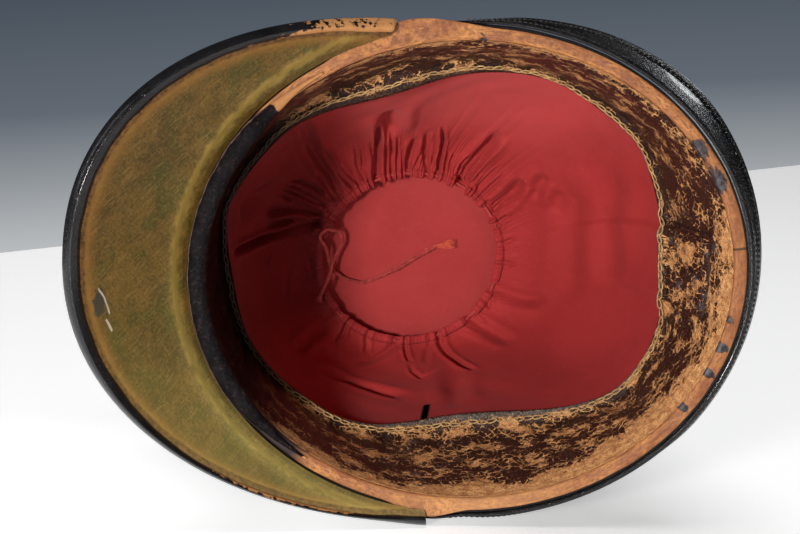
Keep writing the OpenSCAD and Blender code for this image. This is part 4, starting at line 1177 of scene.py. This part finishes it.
STRAP_HALF, STRAP_SEAM = 5.45, 4.3     # in degrees of the body's round
hh = np.linspace(23 / BACK, 1 - 19 / BACK, 70)[:, None]
wt = np.linspace(-STRAP_HALF, STRAP_HALF, 24)[None]
fall = 0.5 * (1 - ease((1 - np.abs(wt) / STRAP_HALF) * 8)) + 0.15 * np.exp(-((np.abs(wt) - STRAP_SEAM) / 0.3) ** 2)
strap = grid("back_strap_leather", wall(wt, hh, BAND_OUT - fall), M_BLACK, flip=True, uv=(113, 16), slot="patent",
             replaces=["back_strap"])
solid = strap.modifiers.new("thickness", "SOLIDIFY")
solid.thickness, solid.offset = 0.0011, -1.0
for name, side in (("right", -STRAP_SEAM), ("left", STRAP_SEAM)):
    line = wall(side, np.linspace(24 / BACK, 1 - 20 / BACK, 90), BAND_OUT - 0.1)
    stitches("back_strap_stitches_" + name, line, np.tile([0.0, 1.0, 0.25], (90, 1)), pitch=2.3, length=1.6, r=0.26,
             closed=False)


# ---------------------------------------------------------------- visor
def visor_half(u):
    """Half the visor's angle on the side of u, which goes from 1 on the right to -1 on the left."""
    return np.where(np.asarray(u, float) > 0, VISOR_RIGHT, VISOR_LEFT)


def visor_root(u):
    """Plan of the visor's root."""
    t = 180 + visor_half(u) * u
    return np.stack(wall_xy(t, HALF_BOARD / top_z(t), BAND_IN + 0.1 + HALF_BOARD), -1)


def visor_edge(u):
    """Plan of the visor's edge."""
    u = np.asarray(u, float)
    wide = RIM_B * sind(visor_half(u)) + VISOR_SIDE
    back, front = RIM_A * cosd(visor_half(u)), RIM_A + VISOR_REACH
    across = np.power(sind(90 * np.abs(u)), 0.93)
    ahead = np.power(np.maximum(cosd(90 * u), 0), 0.93)
    return np.stack([VISOR_LEAN * cosd(90 * u) - np.sign(u) * wide * across, -back - (front - back) * ahead], -1)


def visor_point(u, r, k):
    """Point r out from the visor's root, k off its mid-face."""
    u, r, k = np.broadcast_arrays(np.asarray(u, float), r, k)
    root, edge = visor_root(u), visor_edge(u)
    span = np.linalg.norm(edge - root, axis=-1)
    g = (edge - root) / span[..., None]
    fall = r * math.tan(math.radians(VISOR_DROOP)) * (0.85 + 0.15 * r / span)
    out = r + k * math.sin(math.radians(VISOR_DROOP))
    return pts(root[..., 0] + g[..., 0] * out, root[..., 1] + g[..., 1] * out,
               HALF_BOARD - fall + k * math.cos(math.radians(VISOR_DROOP)))


def visor_span(u):
    """The visor's width from root to edge."""
    return np.linalg.norm(visor_edge(u) - visor_root(u), axis=-1)


U = np.linspace(1, -1, 420)[:, None]
W = visor_span(U)
V = np.linspace(0, 1, 90)[None]
rr = mix(0.7, W - 0.1, V)
puff = 0.95 * np.exp(-((rr - 7.0) / 2.3) ** 2) * ease((1 - np.abs(U)) * 5) + 0.35 * np.exp(-((rr - 2.8) / 1.2) ** 2)
dist_edge = W - rr
puff = puff - 0.25 * np.exp(-((dist_edge - 5.0) / 1.0) ** 2)
under = visor_point(U, rr, -(HALF_BOARD + SEAT + SKIN) - puff * 0.9 - 0.07 * ripples(U * 140, rr, 107, 16))
pu = visor_point(U, rr, 0.0)
scuff = np.exp(-(((pu[..., 0] + 11) / 8.5) ** 2 + ((pu[..., 1] + 134) / 3.6) ** 2)) * 0.8
scratch = 0
for width, *ends in ((0.5, (-6, -134.5), (-9, -132.5)), (0.45, (-9, -132.5), (-15, -130.5)),
                     (0.6, (-17, -131.5), (-21, -129.5))):
    off = to_line(pu[..., :2], np.array(ends))[0]
    scratch = np.maximum(scratch, 0.85 * np.exp(-(off / width) ** 2))
grid("visor_underside_leather", under, M_GREEN, uv=(300, 46),
     attrs={"edge_mm": dist_edge, "root_mm": rr, "scuff": scuff, "scratch": scratch, "low": ease((U + 0.05) / 0.75)},
     slot="visor_green", replaces=["visor_underside"])
top = visor_point(U, mix(1.2, W - 0.1, V), HALF_BOARD + SEAT + SKIN - 0.35 * (1 - ease(V * 14))
                  + 0.04 * ripples(U * 140, rr, 109, 22))
grid("visor_top_leather", top, M_BLACK, flip=True, uv=(300, 46), slot="patent", replaces=["visor_top"])

k0 = HALF_BOARD + SKIN + 2 * SEAT
k1 = k0 + SKIN
E = visor_span(U[:, 0]) + SEAT
wb = (np.minimum(3.3, 0.5 * E) * (1 - 0.40 * ease((U[:, 0] - 0.30) / 0.3) - 0.15 * ease((-U[:, 0] - 0.6) / 0.3))
      * (1 + 0.05 * waves(U[:, 0] * 170, 111, 10, 40, 8)))


def bind(k, share):
    """Line of the binding at a share of its width, from its inner edge to the visor's edge."""
    return visor_point(U[:, 0], E - wb * (1 - share), k)


sec = [bind(k, share) for k, share in ((-k0, 0.0), (-k1 + 0.3, 0.25), (-k1 - 0.02, 0.5), (-k1, 0.8), (-k1, 1.0))]
sec += [visor_point(U[:, 0], E + 0.9 * cosd(a), k1 * sind(a) / sind(70)) for a in np.linspace(-70, 70, 9)]
sec += [bind(k, share) for k, share in ((k1, 1.0), (k1, 0.6), (k1 - 0.25, 0.1), (k0, 0.0), (k0, 1.0), (-k0, 1.0))]
P = np.stack(sec, 1)
ends = np.maximum(ease((-U - 0.62) / 0.33) * 1.25, ease((U - 0.45) / 0.3) * 0.85 * ease((0.90 - U) / 0.06))
inner_lip = np.array([0.55, 0.42, 0.3, 0.2, 0.12] + [0.05] * 15)[None]
around = np.linspace(0, 1, P.shape[1])[None]
outer_side = ease((around - 0.62) / 0.10)
wear_b = np.clip(0.03 + 0.40 * ends * (1 - 0.7 * outer_side) + inner_lip * (0.45 + 0.5 * ends)
                 + 0.07 * ripples(U * 140, inner_lip * 10, 113, 12), 0, 1)
grid("visor_edge_binding", P, M_BIND, loop="v", uv=(330, 16), attrs={"wear": wear_b}, slot="patent",
     replaces=["visor_binding"])


# ---------------------------------------------------------------- rear peak
def peak_share(t):
    """The rear peak's height as a share of the full one."""
    return 0.16 + 0.84 * ease((PEAK_HALF - np.abs(t)) / 48)


def peak_thick(t):
    """The rear peak's thickness."""
    return PEAK_T * (0.45 + 0.55 * ease((PEAK_HALF - np.abs(t)) / 14))


def peak_point(t, s, d):
    """Point of the rear peak at a share s of its height, d out from its inner face."""
    t, s, d = np.broadcast_arrays(np.asarray(t, float), s, d)
    stand = PEAK_FLARE * ease((PEAK_HALF + 1 - np.abs(t)) / 62) * (0.3 * s + 0.7 * s * s)
    return wall_at(t, PEAK_H * (0.024 + peak_share(t) * s), BAND_OUT + swell(t) + SEAT + stand + d)


tk = np.linspace(PEAK_HALF + 12, -PEAK_HALF - 2.4, 560)[:, None]
sk = np.linspace(0, 1, 50)[None]
full = ease((peak_share(tk) - 0.4) / 0.4)
thick = peak_thick(tk)
bulge = 1.15 * np.sin(math.pi * np.power(sk, 0.85)) * full
face = peak_point(tk, sk, thick + bulge * 0.75 + 0.07 * ripples(tk * 1.6, sk * 25, 115, 14) * ease(sk * 5))
back = peak_point(tk, sk[:, ::-1], 0.0)
P = np.concatenate([face, back], 1)
wp = 0.02 + 0.30 * np.exp(-(sk / 0.03) ** 2) + 0.05 * ripples(tk * 1.6, sk * 25, 117, 9)
wear_k = np.concatenate([wp, np.full_like(wp, 0.05)], 1)
grid("rear_peak_leather", P, M_PEAK, loop="v", uv=(330, 56), attrs={"wear": wear_k}, slot="patent",
     replaces=["rear_peak"])
tq = tk[:, 0]
h, th = PEAK_H * peak_share(tq), peak_thick(tq)
lo, hi = 1 - np.minimum(3.5 / h, 0.6), 1 + 0.8 * PEAK_T / h
sec = []
for a in np.linspace(0, 1, 7):
    sec.append(peak_point(tq, mix(lo, 1.0, a), th + SEAT + 0.55 * th / PEAK_T * ease(0.15 + a * 1.2)
                          + 1.15 * 0.75 * full[:, 0] * np.sin(math.pi * np.power(mix(lo, 1.0, a), 0.85))))
for a in np.linspace(15, 165, 8):
    sec.append(peak_point(tq, 1.0 + (hi - 1.0) * sind(a), th * 0.5 + 0.02 + (th * 0.5 + 0.6 * th / PEAK_T) * cosd(a)))
sec += [peak_point(tq, 1.0, -0.05), peak_point(tq, 1.01, 0.0), peak_point(tq, 1.01, th + SEAT),
        peak_point(tq, lo, th + SEAT)]
P = np.stack(sec, 1)
grid("rear_peak_edge_binding", P, M_PEAK, loop="v", uv=(340, 14), attrs={"wear": 0.03}, slot="patent",
     replaces=["rear_peak_binding"])
ts = np.linspace(PEAK_HALF - 1, 1 - PEAK_HALF, 500)
facing = np.concatenate([outward(ts), np.full((500, 1), -0.2)], 1)
stitches("rear_peak_root_stitches", peak_point(ts, 0.10, peak_thick(ts) + 0.12), facing, pitch=2.0, length=1.4,
         r=0.26, closed=False, replaces=["rear_peak_seam"])
hq = PEAK_H * peak_share(ts)
level = 1 - np.minimum(2.0 / hq, 0.4)
stitches("rear_peak_edge_stitches", peak_point(ts, level, peak_thick(ts) * 1.25 + 0.25), facing, pitch=2.1,
         length=1.4, r=0.24, closed=False)

# ---------------------------------------------------------------- hidden pieces that stay
for node, material in (("felt_body", M_FELT), ("crown_board", M_BOARD), ("visor_board", M_EDGE)):
    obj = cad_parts[node]
    if not obj.material_slots:
        obj.data.materials.append(material)
    for sl in obj.material_slots:
        sl.material = material

# ---------------------------------------------------------------- floor, backdrop and light
floor_x = cad_box[0][0] - 0.0004


def on_floor(px, py):
    """Place on the floor behind a point of the picture."""
    way = fw * FOCAL_PX + right * (px - 400) - up * (py - 267)
    k = (floor_x / MM - EYE[0]) / way.x
    return (EYE[1] + way.y * k) * MM, (EYE[2] + way.z * k) * MM


corners = [(-1.2, -0.6), (1.4, -0.6), on_floor(1100, 132), on_floor(-300, 286)]
mesh = bpy.data.meshes.new("floor")
mesh.from_pydata([(floor_x, y, z) for y, z in corners], [], [[0, 1, 2, 3]])
floor = bpy.data.objects.new("floor", mesh)
bpy.context.scene.collection.objects.link(floor)
white = Paint("floor_white", Base_Color=(0.86, 0.86, 0.86, 1), Roughness=0.6, Emission_Color=(1, 1, 1, 1))
_, y, z = white.xyz(white.pos)
glow = white.mul(white.step(y, 0.03, -0.05, "LINEAR", 0.30), white.step(z, 0.16, 0.02, "LINEAR"))
white.fill({"Emission Strength": white.add(glow, 0.43)})
white.finish("Material Output", white.make("NewGeometry").outputs["Backfacing"], white.b,
             white.make("BsdfTransparent"))
mesh.materials.append(white.m)

world = bpy.data.worlds.new("studio")
bpy.context.scene.world = world
studio = Tree(world)
dim_light = studio.nodes["Background"]
studio.put(dim_light.inputs["Color"], (0.93, 0.96, 1.0, 1))
studio.put(dim_light.inputs["Strength"], 0.025)
x, y, z = studio.xyz(studio.coords("Generated"))
height = studio.step(studio.math("MULTIPLY_ADD", y, -0.10, x), -0.1841, -0.0541, "LINEAR")
fade = studio.ramp(height, (0.0, (0.60, 0.62, 0.64)), (0.3, (0.29, 0.31, 0.33)), (0.5, (0.12, 0.14, 0.17)),
                   (1.0, (0.040, 0.055, 0.075)))
backdrop = studio.blend(studio.step(z, 0.86, 0.93, "LINEAR"), (0.72, 0.73, 0.75), fade)
seen = studio.make("Background", {"Color": backdrop, "Strength": 1.0})
studio.finish("World Output", studio.make("LightPath").outputs["Is Camera Ray"], dim_light, seen)


def lamp(name, at, aim, size, power, color=(1, 1, 1)):
    data = bpy.data.lights.new(name, "AREA")
    data.shape, data.size, data.size_y = "RECTANGLE", size[0], size[1]
    data.energy, data.color = power, color
    obj = bpy.data.objects.new(name, data)
    at, aim = Vector(at), Vector(aim)
    obj.location = at
    obj.rotation_euler = (aim - at).to_track_quat("-Z", "X").to_euler()
    bpy.context.scene.collection.objects.link(obj)
    return obj


lamp("key", (0.12, -0.60, -1.13), (0.0, 0.0, 0.06), (0.16, 0.16), 18.6, (1.0, 0.985, 0.96))
lamp("overhead", (1.15, 0.12, 0.14), (-0.09, 0.12, 0.10), (1.1, 1.1), 10.6).visible_glossy = False
lamp("left_glint", (0.45, -0.95, 0.05), (0.03, -0.10, 0.0), (0.10, 0.7), 0.9,
     (0.90, 0.95, 1.0)).visible_diffuse = False
lamp("rear_glint", (0.40, 0.60, 0.68), (0.070, 0.075, 0.015), (0.14, 0.14), 0.60,
     (0.95, 0.98, 1.0)).visible_diffuse = False

bpy.context.scene.view_settings.view_transform = "Standard"
bpy.context.view_layer.update()
